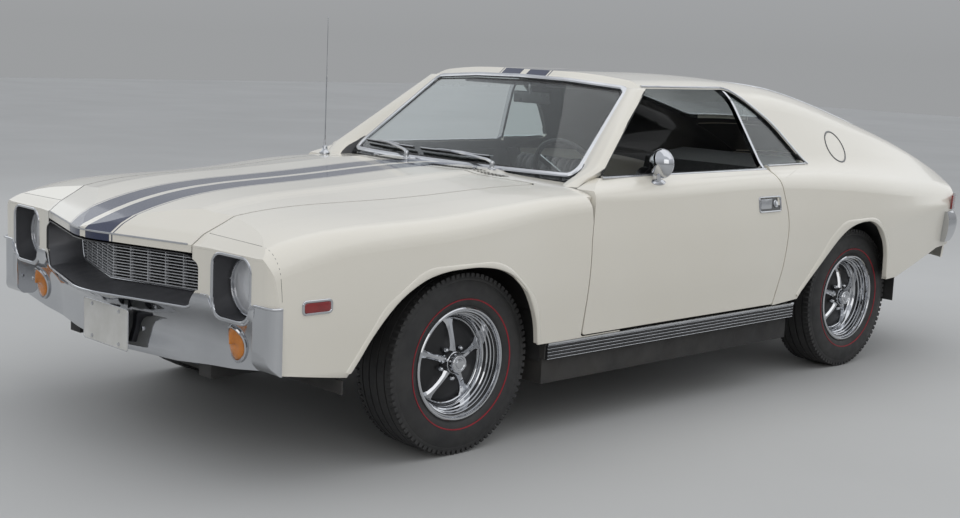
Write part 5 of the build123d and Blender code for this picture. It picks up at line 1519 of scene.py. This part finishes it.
def cabin_fittings():
    """Gear lever, door cards, mirror and sun visors."""
    boot = lathe([(0.0, 0.045), (0.012, 0.040), (0.022, 0.030), (0.034, 0.022), (0.050, 0.012), (0.055, 0.0)], 40)
    mesh_piece("shift_boot", *aimed(boot, (0.160, 0.0, 0.500), UP), RUBBER)
    lever = swept(eased([(0.160, 0, 0.530), (0.140, 0, 0.600), (0.110, 0, 0.680)]), round_profile(0.006, 12), FORWARD)
    mesh_piece("shift_lever", *lever, CHROME)
    knob = lathe([(0.0, 0.010), (0.006, 0.020), (0.020, 0.024), (0.034, 0.020), (0.040, 0.0)], 32)
    mesh_piece("shift_knob", *aimed(knob, (0.112, 0, 0.672), (-0.3, 0, 0.95)), GLOSS_BLACK, slot="black_vinyl")
    lid = bevelled_box((-0.340, -0.072, 0.497), (-0.040, 0.072, 0.512), 0.006, 2)
    mesh_piece("console_lid", *lid, VINYL)
    edge = rounded([(0.560, 0.400, 0.04), (0.560, 0.895, 0.03), (-0.440, 0.895, 0.03), (-0.440, 0.400, 0.04)], 5)
    card = plate(edge, lambda x, z: (x, DOOR_INSIDE, z), 0.0105, LEFT)
    both_sides("door_card", card, VINYL, "{side}_door", smooth=False)
    arm = bevelled_box((-0.300, 0.715, 0.640), (0.080, 0.7585, 0.690), 0.014, 3)
    both_sides("door_armrest", arm, VINYL, "{side}_door")
    seams = [swept(spaced([(0.520, 0.7575, z), (-0.400, 0.7575, z)], 0.05), round_profile(0.002, 8), LEFT)
             for z in (0.560, 0.780, 0.860)]
    both_sides("door_card_seams", joined(seams), BRIGHT, "{side}_door")
    crank = [aimed(lathe(profile, segments), place, RIGHT) for profile, segments, place in (
        ([(0.0, 0.018), (0.012, 0.016), (0.014, 0.0)], 24, (0.060, DOOR_INSIDE, 0.560)),
        ([(0.0, 0.009), (0.016, 0.011), (0.024, 0.009), (0.025, 0.0)], 20, (-0.016, 0.745, 0.560)),
        ([(0.0, 0.012), (0.018, 0.010), (0.019, 0.0)], 20, (0.262, DOOR_INSIDE, 0.759)))]
    crank += [bevelled_box((-0.020, 0.742, 0.554), (0.060, 0.748, 0.566), 0.002, 2),
              bevelled_box((0.180, 0.738, 0.752), (0.270, 0.748, 0.766), 0.003, 2)]
    both_sides("door_crank", joined(crank), CHROME, "{side}_door")
    glass = bevelled_box((0.118, -0.105, 1.165), (0.134, 0.105, 1.215), 0.007, 3)
    mesh_piece("inside_mirror", *glass, GLOSS_BLACK, slot="black_vinyl")
    face = bevelled_box((0.1165, -0.098, 1.171), (0.1185, 0.098, 1.209), 0.0009, 1)
    mesh_piece("inside_mirror_glass", *face, LAMP_SILVER)
    stem = swept(eased([(0.130, 0, 1.205), (0.140, 0, 1.240), (0.130, 0, 1.262)]), round_profile(0.005, 10), LEFT)
    mesh_piece("inside_mirror_stem", *stem, CHROME)
    visor = bevelled_box((0.020, 0.060, 1.238), (0.110, 0.440, 1.252), 0.006, 2)
    both_sides("sun_visor", visor, VINYL)


steering_wheel()
dashboard_details()
cabin_fittings()


# ---- Camera, floor and light ----

CAMERA_PLACE = (4.6122, 4.3422, 1.4268)
CAMERA_YAW = -2.3416
CAMERA_PITCH = 0.1508
CAMERA_ROLL = 0.0430
LENS_MM = 54.0


def camera():
    """The camera at the photograph's place and angle."""
    ahead = Vector((cos(CAMERA_YAW) * cos(CAMERA_PITCH), sin(CAMERA_YAW) * cos(CAMERA_PITCH), -sin(CAMERA_PITCH)))
    level = ahead.cross(Vector(UP)).normalized()
    upright = level.cross(ahead)
    right = level * cos(CAMERA_ROLL) + upright * sin(CAMERA_ROLL)
    up = -level * sin(CAMERA_ROLL) + upright * cos(CAMERA_ROLL)
    data = bpy.data.cameras.new("camera")
    data.sensor_width = 36
    data.sensor_fit = "HORIZONTAL"
    data.lens = LENS_MM
    view = bpy.data.objects.new("camera", data)
    view.matrix_world = Matrix((
        (right.x, up.x, -ahead.x, CAMERA_PLACE[0]),
        (right.y, up.y, -ahead.y, CAMERA_PLACE[1]),
        (right.z, up.z, -ahead.z, CAMERA_PLACE[2]),
        (0, 0, 0, 1),
    ))
    bpy.context.scene.collection.objects.link(view)
    bpy.context.scene.camera = view


def area_light(name, place, target, size, power, color=(1, 1, 1)):
    """A soft rectangular light aimed at a place."""
    data = bpy.data.lights.new(name, "AREA")
    data.shape = "RECTANGLE"
    data.size, data.size_y = size
    data.energy = power
    data.color = color
    lamp = bpy.data.objects.new(name, data)
    lamp.location = place
    lamp.rotation_euler = (Vector(target) - Vector(place)).to_track_quat("-Z", "Y").to_euler()
    bpy.context.scene.collection.objects.link(lamp)


def studio():
    """A plain floor, a pale sky and four soft lights."""
    floor_material = surface("studio_floor", (0.52, 0.52, 0.51), (0.48, 0.48, 0.47), rough=(0.6, 0.75), patch=0.4,
                             bump=(0.05, 0.001, 30.0))
    size = 30.0
    mesh = bpy.data.meshes.new("studio_floor")
    mesh.from_pydata([(-size, -size, 0), (size, -size, 0), (size, size, 0), (-size, size, 0)], [], [(0, 1, 2, 3)])
    mesh.materials.append(floor_material)
    floor = bpy.data.objects.new("studio_floor", mesh)
    bpy.context.scene.collection.objects.link(floor)
    world = bpy.data.worlds.new("studio_world")
    bpy.context.scene.world = world
    world.use_nodes = True
    tree = world.node_tree
    tree.nodes.clear()
    output = tree.nodes.new("ShaderNodeOutputWorld")
    background = tree.nodes.new("ShaderNodeBackground")
    direction = tree.nodes.new("ShaderNodeTexCoord")
    split = tree.nodes.new("ShaderNodeSeparateXYZ")
    link(tree, direction.outputs["Generated"], split.inputs[0])
    height = tree.nodes.new("ShaderNodeMapRange")
    link(tree, split.outputs["Z"], height.inputs["Value"])
    height.inputs["From Min"].default_value = 0.0
    height.inputs["From Max"].default_value = 0.55
    sky = mixed(tree, height.outputs["Result"], (0.46, 0.47, 0.48), (0.92, 0.95, 1.0))
    link(tree, sky, background.inputs["Color"])
    background.inputs["Strength"].default_value = 0.72
    link(tree, background.outputs[0], output.inputs["Surface"])
    area_light("key", (-1.0, 1.0, 6.0), (0, 0, 0.4), (10.0, 8.0), 120)
    area_light("front_left", (5.5, 5.5, 3.2), (0.5, 0, 0.6), (6.0, 3.5), 60, (1.0, 0.98, 0.95))
    area_light("right_side", (2.5, -6.5, 3.4), (0, 0, 0.6), (6.0, 3.5), 40, (0.95, 0.98, 1.0))
    area_light("rear_left", (-6.5, 2.2, 3.2), (0, 0, 0.6), (6.0, 3.5), 35, (0.97, 0.99, 1.0))


camera()
studio()
bpy.context.scene.view_settings.view_transform = "Standard"
